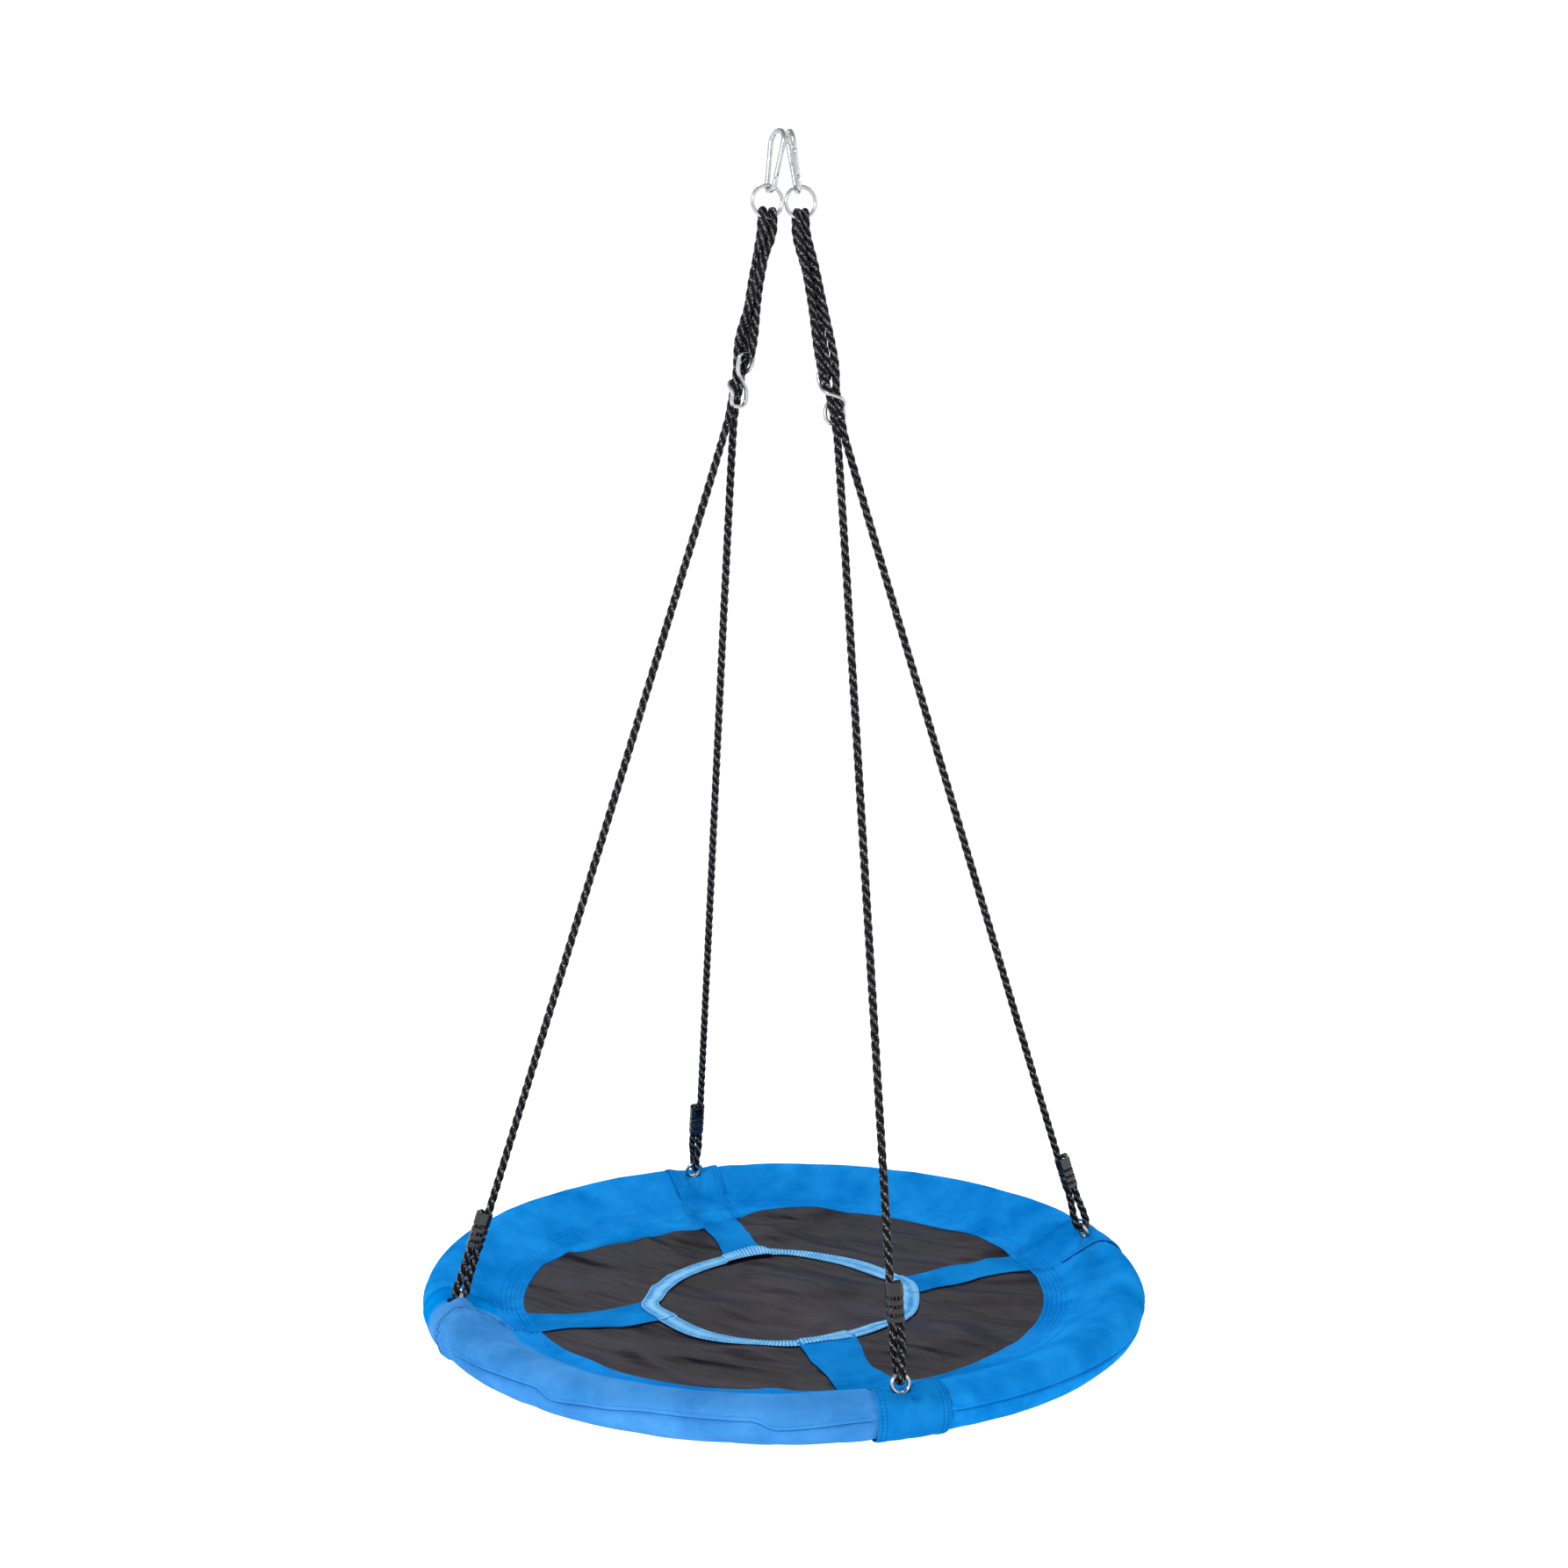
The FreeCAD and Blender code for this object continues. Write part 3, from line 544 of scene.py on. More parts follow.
# Dark blue thread: real stitches on the bands and the border's radial seams, and also painted shadow, as
# dark lines standing in for the shade under the cover's lap and under the left front panel's arched end.
DARK_THREAD_AND_SHADOW_LINE = blue_cloth("blue_thread_dark_and_painted_shadow", (0.0, 0.045, 0.220), (0.0, 0.065, 0.280))
BLUE_THREAD = blue_cloth("blue_thread", (0.010, 0.19, 0.54), (0.030, 0.25, 0.64))


def dress(piece, slot, material=None):
    """Give a piece its material and slot, and let it ride on the seat."""
    piece.data.materials.clear()
    piece.data.materials.append(material or MATERIALS[slot])
    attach(piece, SEAT_BODY)
    return piece


def sew_in(piece, node, slot, material=None, thickness=COVER_THICKNESS):
    """Give a soft piece its thickness and looks, in place of its CAD node."""
    thicken(piece, thickness)
    dress(piece, slot, material)
    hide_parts(node)


# ---- camera, floor and light
def make_camera():
    """Standing 3.25 m from the seat's middle, eye level 1.17 m above the rim, turned 18 degrees."""
    data = bpy.data.cameras.new("camera")
    data.sensor_width = 36.0
    data.lens = 55.3
    camera = placed("camera", data)
    turn = radians(18.04)
    away = 3.25
    camera.location = (-away * sin(turn), -away * cos(turn), RIM_Z + 1.174)
    camera.rotation_euler = (radians(90 - 8.12), 0, -turn)
    bpy.context.scene.camera = camera


def softbox(name, place, size, power):
    """A round soft light aimed at the seat."""
    data = bpy.data.lights.new(name, "AREA")
    data.shape = "DISK"
    data.size = size
    data.energy = power
    lamp = placed(name, data)
    lamp.location = place
    aim = Vector((0, 0, RIM_Z + 0.2)) - Vector(place)
    lamp.rotation_euler = aim.to_track_quat("-Z", "Y").to_euler()


def make_stage():
    """A plain pale floor under the hanging seat, with soft light from a wide key and the sky."""
    floor_z = RIM_Z - 0.75
    corners = [(-40, -40, floor_z), (40, -40, floor_z), (40, 40, floor_z), (-40, 40, floor_z)]
    floor = new_mesh("floor", corners, [(0, 1, 2, 3)])
    s = Shader("floor_paint")
    colour = s.ramp(s.noise(s.place(), 3, 4), [(0.2, (0.945, 0.945, 0.945)), (0.8, (0.955, 0.955, 0.955))])
    floor.data.materials.append(s.finish(Base_Color=colour, Roughness=0.9, Specular_IOR_Level=0.1,
                                         Emission_Color=(1, 1, 1, 1), Emission_Strength=0.50))
    world = bpy.data.worlds.new("studio")
    world.use_nodes = True
    sky = world.node_tree
    background = sky.nodes["Background"]
    place = sky.nodes.new("ShaderNodeTexCoord")
    height = sky.nodes.new("ShaderNodeSeparateXYZ")
    shade = sky.nodes.new("ShaderNodeMapRange")
    for socket, value in (("From Min", 0.28), ("From Max", 0.85), ("To Min", 1.04), ("To Max", 0.38)):
        shade.inputs[socket].default_value = value
    sky.links.new(place.outputs["Generated"], height.inputs[0])
    sky.links.new(height.outputs[2], shade.inputs["Value"])
    sky.links.new(shade.outputs[0], background.inputs[1])
    background.inputs[0].default_value = (1, 1, 1, 1)
    bpy.context.scene.world = world
    bpy.context.scene.view_settings.view_transform = "Standard"
    softbox("key", (-2.6, -2.6, RIM_Z + 2.6), 1.0, 84)
    softbox("fill", (3.0, -2.0, RIM_Z + 1.6), 1.8, 10)
    softbox("back_light", (0.8, 3.2, RIM_Z + 2.6), 1.0, 72)


# ---- ropes
def around(radius, turned=1):
    """Corners of a half turn about a bar: the height grows upwards when turned is 1."""
    side = turned * 0.577 * radius
    return [(-radius, side), (0, turned * 1.155 * radius), (radius, side)]


# A rope end in its own axes, as in the CAD part: down through the clamp to the eye, and how it leaves the
# clamp again after rising the same way on the eye's other side.
FLAT = ([(0.00485, 0, 0.114), (0.00475, 0, 0.090), (0.0049, 0, 0.064), (0.0054, 0, 0.040),
         (0.0083, 0, 0.015)], (-0.0049, 0, 0.124))
TWISTED = ([(0, 0.00485, 0.114), (0, 0.00475, 0.088), (0, 0.0049, 0.053), (0.0046, 0.0043, 0.033),
            (0.0082, 0, 0.015)], (0, -0.0049, 0.124))
LOOPS = {"right": FLAT, "left": FLAT, "front": TWISTED, "back": TWISTED}
CLOSED_LOOP = {"left": 0.0030}  # how much nearer the two ropes lie just above that eye
ADJUSTER_ENDS = {"left": ("back", "left"), "right": ("front", "right")}
ADJUSTER_FACING = {"left": Vector((-0.88, -0.47, 0)), "right": Vector((1, 0, 0))}
THROUGH_ADJUSTER = [(0.0048, 0.0003, -0.062), (0.0049, -0.0003, -0.036), (0.0048, 0.0002, -0.008),
                    (0.0052, -0.0002, 0.012), (0.0100, 0, 0.032)]
# The four ropes between ring and adjuster, beside the middle line, in the order the rope runs.
ROW_SHARES = [0.25, 0.48, 0.735]
ROWS = {
    "left": [
        [(-0.0033, 0.0076), (-0.0061, -0.0027), (0.0062, 0.0012), (0.0021, -0.0097)],
        [(0.0050, 0.0089), (-0.0042, 0.0040), (0.0050, -0.0032), (-0.0042, -0.0081)],
        [(0.0036, 0.0094), (-0.0008, 0.0008), (0.0098, -0.0084), (-0.0116, -0.0041)],
    ],
    "right": [
        [(-0.0083, -0.0055), (-0.0055, 0.0055), (0.0078, 0.0065), (0.0060, -0.0055)],
        [(-0.0076, -0.0038), (0.0005, 0.0028), (0.0036, 0.0128), (0.0072, -0.0052)],
        [(-0.0108, -0.0005), (-0.0007, -0.0003), (-0.0010, 0.0158), (0.0116, -0.0005)],
    ],
}
RING_BIGHTS = {
    "left": [(-0.0065, 1, -1), (0.0065, 1, -1)],
    "right": [(-0.0050, -1, 1), (0.0050, 1, -1)],
}


def between(place):
    """The name of the stretch of rim that starts at an attachment."""
    return place + "_" + NEXT[place]


def outwards(place):
    return level(radians(ATTACHMENTS[place]))


def eye_seat(place):
    """The eye's middle; Z is the bolt's line, through the tube's middle and leaning inwards."""
    middle = outwards(place) * EYE_CIRCLE + Z_AXIS * (RIM_Z + EYE_RISE)
    tube = outwards(place) * RIM_RADIUS + Z_AXIS * RIM_Z
    return Seat(middle, outwards(place), middle - tube)


def ring_seat(side):
    return Seat((SIDES[side] * RING_SPACING / 2, 0, RING_BOTTOM), (1, 0, 0), Z_AXIS)


def adjuster_seat(side):
    """The adjuster's waist, on the line from the ring to the middle of its two rope ends."""
    ends = [eye_seat(place).origin for place in ADJUSTER_ENDS[side]]
    middle = (ends[0] + ends[1]) / 2
    ring = ring_seat(side).origin
    waist = ring + (middle - ring) * ADJUSTER_SHARE[side]
    return Seat(waist, ADJUSTER_FACING[side], ring - middle)


def end_seat(place):
    """A rope end's own axes at the eye's top wire: X outwards, Z up along the rope."""
    side = "left" if place in ADJUSTER_ENDS["left"] else "right"
    wire = eye_seat(place).point(0, 0, (EYE_OUTSIDE - EYE_WIRE) / 2)
    rope_top = adjuster_seat(side).point(0, 0, -ADJUSTER_FOOT)
    return Seat(wire, outwards(place), rope_top - wire)


def rope_end_points(place):
    """From the rope's cut end down to the eye and up to the clamp's top."""
    seat = end_seat(place)
    loop, leaving = LOOPS[place]
    *down, (low_x, low_y, low_z) = loop
    down.append((low_x - CLOSED_LOOP.get(place, 0.0), low_y, low_z))
    rise = [(-x, -y, z) for x, y, z in down[:0:-1]] + [leaving]
    under = [(-x, 0, z) for x, z in around(EYE_WIRE / 2 + ROPE_DIAMETER / 2 + 0.0004, -1)]
    return [seat.point(*offset) for offset in down + under + rise]


def ring_bight(side, x, first_y, second_y):
    """Up on one side of the ring's lowest wire, over it and down on the other side."""
    ring = ring_seat(side)
    lift = RING_RADIUS - sqrt(RING_RADIUS ** 2 - x ** 2)
    radius = RING_WIRE / 2 + ROPE_DIAMETER / 2 + 0.0014
    turn = [ring.point(x, first_y * (radius + 0.0003), lift - 0.022)]
    turn += [ring.point(x, -first_y * y, lift + z) for y, z in around(radius)]
    turn += [ring.point(x, second_y * (radius + 0.0003), lift - 0.022)]
    return turn


def rope_points(side):
    """The whole route of one side's rope, from one cut end to the other."""
    first_end, second_end = ADJUSTER_ENDS[side]
    seat = adjuster_seat(side)
    ring = ring_seat(side).origin
    strands = []
    for strand in range(4):
        rows = zip(ROW_SHARES, ROWS[side])
        strands.append([ring.lerp(seat.origin, share) + Vector((*row[strand], 0)) for share, row in rows])
    bights = [ring_bight(side, *bight) for bight in RING_BIGHTS[side]]
    behind = ROPE_DIAMETER / 2 + ADJUSTER_WIRE / 2 + 0.0003
    bar = seat.point(0, behind, ADJUSTER_TOP)
    hooked = [bar + seat.y * y + seat.z * z for y, z in around(behind, -1)]
    points = rope_end_points(first_end)
    points += [seat.point(-x, y, z) for x, y, z in THROUGH_ADJUSTER]
    points += strands[0][::-1] + bights[0] + strands[1]
    points += hooked
    points += strands[2][::-1] + bights[1] + strands[3]
    points += [seat.point(x, y, z) for x, y, z in THROUGH_ADJUSTER][::-1]
    points += rope_end_points(second_end)[::-1]
    return points


def smooth_line(name, points):
    """The points of a smooth line that has the route's points as its control points."""
    data = bpy.data.curves.new(name + "_route", "CURVE")
    data.dimensions = "3D"
    data.resolution_u = 16
    spline = data.splines.new("NURBS")
    spline.points.add(len(points) - 1)
    for control, point in zip(spline.points, points):
        control.co = (*point, 1)
    spline.order_u = 3
    spline.use_endpoint_u = True
    route = placed(name + "_route", data)
    mesh = bpy.data.meshes.new_from_object(route.evaluated_get(bpy.context.evaluated_depsgraph_get()))
    line = [vertex.co.copy() for vertex in mesh.vertices]
    bpy.data.meshes.remove(mesh)
    bpy.data.objects.remove(route)
    return line


def even_steps(line, step):
    """The same line, read off at even steps."""
    made = [line[0]]
    left = step
    for start, end in zip(line, line[1:]):
        length = (end - start).length
        reached = 0.0
        while length - reached >= left:
            reached += left
            made.append(start.lerp(end, reached / length))
            left = step
        left -= length - reached
    if (line[-1] - made[-1]).length < step / 2:
        made.pop()
    made.append(line[-1])
    return made


def strand_radius(angle):
    """The laid rope's outline: three strands pressed together, highest at their middles."""
    turn = (angle + pi / 3) % (2 * pi / 3) - pi / 3
    strand = 0.345 * ROPE_DIAMETER
    middle = 0.240 * ROPE_DIAMETER
    return middle * cos(turn) + sqrt(strand ** 2 - (middle * sin(turn)) ** 2)


def laid_rope(name, line, pinched_at, sides=30, step=0.0022):
    """A rope of three strands that turn left-handed along the line, with melted ends."""
    path = even_steps(line, step)
    angles = spaced(0.0, 2 * pi, sides)[:-1]
    points = []
    coordinates = []
    across = (path[1] - path[0]).orthogonal().normalized()
    tip = [0.55, 0.85, 0.97]  # the melted end's width at each step
    last = len(path) - 1
    for index, centre in enumerate(path):
        tangent = (path[min(index + 1, last)] - path[max(index - 1, 0)]).normalized()
        across = (across - tangent * tangent.dot(across)).normalized()
        upward = tangent.cross(across)
        travelled = index * step
        twist = -2 * pi * travelled / LAY_PITCH
        from_end = min(index, last - index)
        taper = tip[from_end] if from_end < len(tip) else 1.0
        wobble = 1 + 0.035 * waves(travelled * 90, 3.0) - 0.16 * bell((centre - pinched_at).length, 0.024)
        for angle in angles:
            radius = strand_radius(angle - twist) * taper * wobble
            points.append(centre + across * radius * cos(angle) + upward * radius * sin(angle))
            coordinates.append((travelled, angle * ROPE_DIAMETER / 2))
    faces = []
    for low in range(0, last * sides, sides):
        for side in range(sides):
            after = (side + 1) % sides
            faces.append((low + side, low + after, low + sides + after, low + sides + side))
    faces.append(tuple(range(sides))[::-1])
    faces.append(tuple(range(len(points) - sides, len(points))))
    made = new_mesh(name, points, faces)
    set_uv(made, coordinates, pi * ROPE_DIAMETER)
    return made, path


def make_ropes():
    for side in SIDES:
        line = smooth_line("laid_rope_" + side, rope_points(side))
        rope, path = laid_rope("laid_rope_" + side, line, ring_seat(side).origin)
        dress(rope, "black_rope")
        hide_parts("rope_" + side)
        tuple(line[0])
        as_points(path)


# ---- the rim cover's section
def cloth_rise(radius):
    """How much less the sewn-in cloth sags than its pattern, most at the middle."""
    return 0.0055 * (1 - min(radius / 0.400, 1.0) ** 2)


def dish_height(radius):
    """Height of the sagging seat's lower face."""
    sphere = (EDGE_RADIUS ** 2 + SEAT_SAG ** 2) / (2 * SEAT_SAG)
    return RIM_Z - SEAT_SAG + sphere - sqrt(sphere ** 2 - radius ** 2)


def tangent_from(flange):
    """A flange's direction from the rim's middle, the angle to where its line touches, and its run."""
    away = hypot(*flange)
    direction = atan2(flange[1], flange[0]) % (2 * pi)
    return direction, acos(RIM_SECTION / away), sqrt(away ** 2 - RIM_SECTION ** 2)


UPPER_FLANGE = (FLANGE_RADIUS - RIM_RADIUS, dish_height(FLANGE_RADIUS) + CLOTH_TOP + LAYER - 0.0002 - RIM_Z)
LOWER_FLANGE = (FLANGE_RADIUS - RIM_RADIUS, dish_height(FLANGE_RADIUS) - 0.0006 - RIM_Z)
upper_direction, upper_opening, UPPER_RUN = tangent_from(UPPER_FLANGE)
lower_direction, lower_opening, LOWER_RUN = tangent_from(LOWER_FLANGE)
UPPER_TOUCH = upper_direction - upper_opening
LOWER_TOUCH = lower_direction + lower_opening - 2 * pi
ARC_START = FLANGE_HEM + UPPER_RUN
ARC_END = ARC_START + RIM_SECTION * (UPPER_TOUCH - LOWER_TOUCH)
SECTION_LENGTH = ARC_END + LOWER_RUN


def across_at(angle):
    """How far round the section, from the upper flange, an angle of the padded rim is."""
    return ARC_START + RIM_SECTION * (UPPER_TOUCH - angle)


SEAM_ACROSS = across_at(radians(SEAM_HEIGHT))
EYE_ACROSS = across_at(atan2(EYE_RISE, EYE_CIRCLE - RIM_RADIUS))


def section(across):
    """A place on the cover's section, outwards and up from the rim's middle."""
    if across < FLANGE_HEM:
        inwards = FLANGE_HEM - across
        return UPPER_FLANGE[0] - inwards, UPPER_FLANGE[1] - 0.30 * inwards
    if across < ARC_START:
        share = (across - FLANGE_HEM) / UPPER_RUN
        flange, angle = UPPER_FLANGE, UPPER_TOUCH
    elif across < ARC_END:
        share = 1.0
        flange, angle = UPPER_FLANGE, UPPER_TOUCH - (across - ARC_START) / RIM_SECTION
    else:
        share = 1 - (across - ARC_END) / LOWER_RUN
        flange, angle = LOWER_FLANGE, LOWER_TOUCH
    place_r = flange[0] * (1 - share) + RIM_SECTION * cos(angle) * share
    place_z = flange[1] * (1 - share) + RIM_SECTION * sin(angle) * share
    return place_r, place_z


def rim_point(across, along):
    """A place on the cover: so far round its section, so far along the rim."""
    place_r, place_z = section(across)
    radius = RIM_RADIUS + place_r
    turn = along / RIM_RADIUS
    return Vector((radius * cos(turn), radius * sin(turn), RIM_Z + place_z))


def along_at(turn):
    return radians(turn) * RIM_RADIUS


def seam_shift(along):
    """How far the lengthwise seam lies below its usual line, round the section."""
    turn = degrees(along / RIM_RADIUS) % 360
    height = SEAM_HEIGHT + 1.5 * waves(along * 5, 2.0)
    for (start, low), (end, high) in zip(SEAM_WANDER, SEAM_WANDER[1:]):
        if start <= turn <= end:
            height = low + (high - low) * ease((turn - start) / (end - start))
    return RIM_SECTION * radians(SEAM_HEIGHT - height)


def eye_dimple(place, across, beside):
    """The cover is drawn in round an eye; beside is the distance along the rim from it."""
    depth, reach = DIMPLES[place]
    past = across - EYE_ACROSS
    away = hypot(past, beside)
    creases = 0.0011 * cos(3 * atan2(past, beside) + 1.0) * (away / 0.02) * bell(away, 0.026)
    lip = LIP.get(place, 0.0) * bell(hypot(past / 1.6, beside - 0.0185), 0.0085)
    tuck = TUCK.get(place, 0.0) * bell(hypot(past - 0.028, beside - 0.011), 0.0060)
    return creases + lip - tuck - depth * bell(away, reach)


# ---- cloth on the rim
def at_hem(across):
    return across < 0.008 or across > SECTION_LENGTH - 0.006


def hem_sink(across):
    """How far the cover's upper hem sinks into the border it is sewn to."""
    return 0.0022 * ease((HEM - across) / 0.0070)


def panel_height(across, along, start, end, from_eye):
    """How far a long panel of the cover stands out: soft clouds, puckers, hemmed lap and its ends."""
    height = 0.0011 * waves(along * 11, across * 22, 4.0) + 0.0006 * waves(along * 30, across * 45, 8.0)
    height *= ease(across / 0.02) * ease((SECTION_LENGTH - across) / 0.02)
    from_seam = across - SEAM_ACROSS
    below = ease((from_seam + 0.0006) / 0.0012)
    height += 0.0013 * (1 - below) * bell(min(from_seam, 0.0), 0.009)
    height -= 0.0022 * below * bell(max(from_seam, 0.0), 0.0045)
    pucker = sin(2 * pi * along / 0.013 + 4 * waves(along * 20, 1.0))
    height += 0.00025 * pucker * exp(-abs(from_seam) / 0.008)
    height += 0.0008 * pucker * waves(along * 25, 6.0) * exp(-across / 0.025) * ease(across / 0.02)
    for distance in (along - start, end - along):
        gather = sin(2 * pi * across / 0.017 + 5 * waves(across * 30, along * 4))
        height += 0.0007 * gather * exp(-distance / 0.020)
        height -= 0.0008 * bell(distance, 0.014) + 0.0014 * bell(distance - BAND_LAP, 0.0035)
    height = max(height, -0.0026) - hem_sink(across)
    height += 0.0014 * ease((across - SECTION_LENGTH + 0.022) / 0.014)
    if from_eye is None:
        return height
    height += 0.0008 * bell(along - start, 0.014) + 0.0006 * bell(along - start - 0.003, 0.002)
    height += FLAP_LIFT * ease((BANDS["left"][1] + 0.012 - from_eye) / 0.010)
    return height + eye_dimple("left", across, from_eye)


def arch_at(across):
    """How far from the eye the left front panel's arched end lies."""
    return 0.042 + 0.011 * min(abs(across - EYE_ACROSS) / 0.052, 1.0) ** 1.6


def make_panel(place):
    """One long panel of the sewn cover, between two eyes, with its hemmed lengthwise lap."""
    name = between(place)
    over_band = place == "left"
    eye_along = along_at(ATTACHMENTS[place])
    start = eye_along + BANDS[place][1] - BAND_LAP
    end = along_at(ATTACHMENTS[place] + 90) - BANDS[NEXT[place]][0] + BAND_LAP
    jogs = [along_at(turn) for turn in SEAM_JOGS] if over_band else []
    lanes = places_along(0.0, SECTION_LENGTH, 0.0062, [SEAM_ACROSS - 0.004], 0.008, 0.0015)
    steps = places_along(start, end, 0.0070, [start, end] + jogs, 0.008, 0.003)

    def true_along(across, along):
        """The left front panel's end is an arch that reaches over the band towards the eye."""
        if not over_band:
            return along
        return end + (along - end) * (end - eye_along - arch_at(across)) / (end - start)

    def place_at(across, along):
        along = true_along(across, along)
        return rim_point(across + seam_shift(along) * bell(across - SEAM_ACROSS, 0.035), along)

    def held(across, along):
        sewn = at_hem(across) or abs(across - SEAM_ACROSS) < 0.003
        return sewn or along < start + 0.004 or along > end - 0.004

    def height_at(across, along):
        real = true_along(across, along)
        from_eye = real - eye_along if over_band else None
        return panel_height(across, real, true_along(across, start), end, from_eye)

    piece = grid("cover_panel_" + name, lanes, steps, place_at)
    settle(piece, held, 0.007, 0.0015, push=0.6)
    finer(piece)
    press(piece, height_at)
    spots = spaced(start + 0.012, end - 0.012, 300)
    row = [place_at(SEAM_ACROSS - 0.0050, spot) for spot in spots]
    thread = stitching("cover_stitches_" + name, piece, [row], BLUE_THREAD)
    # Painted shadow: a dark thread in the lap's groove, and along the left front panel's arched end, stands
    # in for the shade line there.
    rows = [[place_at(SEAM_ACROSS + 0.0010, spot) for spot in spots]]
    if over_band:
        rows.append([place_at(across, start) for across in spaced(0.014, SECTION_LENGTH - 0.014, 90)])
    seam = stitching("cover_seam_painted_shadow_" + name, piece, rows, DARK_THREAD_AND_SHADOW_LINE, 0.0030, 0.0007)
    sew_in(piece, "rim_cover_" + name, "blue_cloth", PALE_PANEL if over_band else None)


def make_foam(place):
    """A slit foam sleeve under the cover, from one eye to the next."""
    name = between(place)
    foam_low, foam_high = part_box("foam_sleeve_right_back")
    radius = (foam_high.z - foam_low.z) / 2 - 0.0032
    start = along_at(ATTACHMENTS[place]) + 0.0345
    lanes = places_along(0.002, 2 * pi * radius - 0.002, 0.0060)
    steps = places_along(start, start + along_at(90) - 0.069, 0.0090)

    def place_at(across, along):
        angle = -pi / 2 - across / radius
        reach = radius - 0.0004 * (1 + waves(along * 25, across * 25, 7.0))
        sideways = level(along / RIM_RADIUS) * (RIM_RADIUS + reach * cos(angle))
        return sideways + Z_AXIS * (RIM_Z + reach * sin(angle))

    piece = grid("foam_" + name, lanes, steps, place_at)
    sew_in(piece, "foam_sleeve_" + name, "white_foam", thickness=0.0145)


def cut_slit(piece, eye_along, half):
    """Open the slit that the eye stands in, and draw its edge to a clean oval."""
    def reach(across, along):
        return hypot((across - EYE_ACROSS) / half[0], (along - eye_along) / half[1])

    away = [reach(*place) for place in flat_places(piece)]
    made = bmesh.new()
    made.from_mesh(piece.data)
    made.verts.ensure_lookup_table()
    inside = [face for face in made.faces if all(away[vertex.index] < 1 for vertex in face.verts)]
    bmesh.ops.delete(made, geom=inside, context="FACES")
    made.to_mesh(piece.data)
    made.free()
    for vertex, (across, along) in zip(piece.data.vertices, flat_places(piece)):
        share = reach(across, along)
        if 1e-6 < share < 1:
            edge = (EYE_ACROSS + (across - EYE_ACROSS) / share, eye_along + (along - eye_along) / share)
            vertex.co += rim_point(*edge) - rim_point(across, along)


def make_band(place):
    """The reinforcing band at an eye bolt, stitched down twice at both ends."""
    eye_along = along_at(ATTACHMENTS[place])
    before, beyond = BANDS[place]
    lanes = places_along(0.0, SECTION_LENGTH, 0.0055, [EYE_ACROSS], 0.012, 0.0030)
    steps = places_along(-before, beyond, 0.0055, [-before, 0, beyond], 0.016, 0.0026)
    steps = [eye_along + step for step in steps]

    def held(across, along):
        return at_hem(across) or along < steps[0] + 0.012 or along > steps[-1] - 0.012

    def height_at(across, along):
        beside = along - eye_along
        from_end = min(along - steps[0], steps[-1] - along)
        height = BAND_LIFT * ease(across / 0.016) + 0.0006 * ease((0.013 - from_end) / 0.002)
        height += 0.0007 * waves(along * 22, across * 26, 2.0) - hem_sink(across)
        for row in BAND_ROWS:
            height -= 0.0006 * bell(from_end - row, 0.0010)
        pucker = sin(2 * pi * across / 0.009 + 4 * waves(across * 40, 3.0))
        height += 0.00030 * pucker * bell(from_end - 0.007, 0.006) - 0.0012 * bell(from_end, 0.0015)
        if place == "left":
            height -= 0.0022 * bell(beside - arch_at(across) + 0.0010, 0.0024)
        return height + eye_dimple(place, across, beside)

    piece = grid("eye_band_" + place, lanes, steps, rim_point)
    settle(piece, held, 0.012, 0.0016, push=0.6)
    finer(piece)
    press(piece, height_at)
    cut_slit(piece, eye_along, SLITS[place])
    rows = []
    for row in BAND_ROWS:
        for there in (steps[0] + row, steps[-1] - row):
            rows.append([rim_point(across, there) for across in spaced(0.012, SECTION_LENGTH - 0.012, 80)])
    thread = stitching("band_stitches_" + place, piece, rows, DARK_THREAD_AND_SHADOW_LINE)
    material = half_pale(eye_along) if place == "left" else SHADED_CLOTH if place == "front" else None
    sew_in(piece, "rim_band_" + place, "blue_cloth", material)
    "frame_tube_" + between(place)


# ---- cloth of the seat
class Ground:
    """The dark cloth's upper face, on which the other layers lie."""

    def __init__(self, piece):
        self.tree = surface_tree(piece)

    def at(self, x, y):
        spot = self.tree.ray_cast(Vector((x, y, RIM_Z + 0.1)), -Z_AXIS)[0]
        return spot.z if spot else dish_height(hypot(x, y)) + CLOTH_TOP

    def point(self, x, y, lift):
        """A place on a layer that bridges the cloth's small wrinkles."""
        turns = (0, 1.26, 2.51, 3.77, 5.03)
        ring = [self.at(x + 0.010 * cos(turn), y + 0.010 * sin(turn)) for turn in turns]
        return Vector((x, y, max(self.at(x, y), sum(ring) / len(ring)) + lift))


def from_quarter(turn):
    """How far a turn is from the nearest spoke's."""
    return (turn + pi / 4) % (pi / 2) - pi / 4


def beside_spoke(x, y):
    """Distance from the nearest spoke's middle line, with its sign."""
    return hypot(x, y) * sin(from_quarter(atan2(y, x)))


def over_spoke(x, y):
    """How much a layer rises where it crosses a spoke."""
    return LAYER * ease((0.037 - abs(beside_spoke(x, y))) / 0.006)


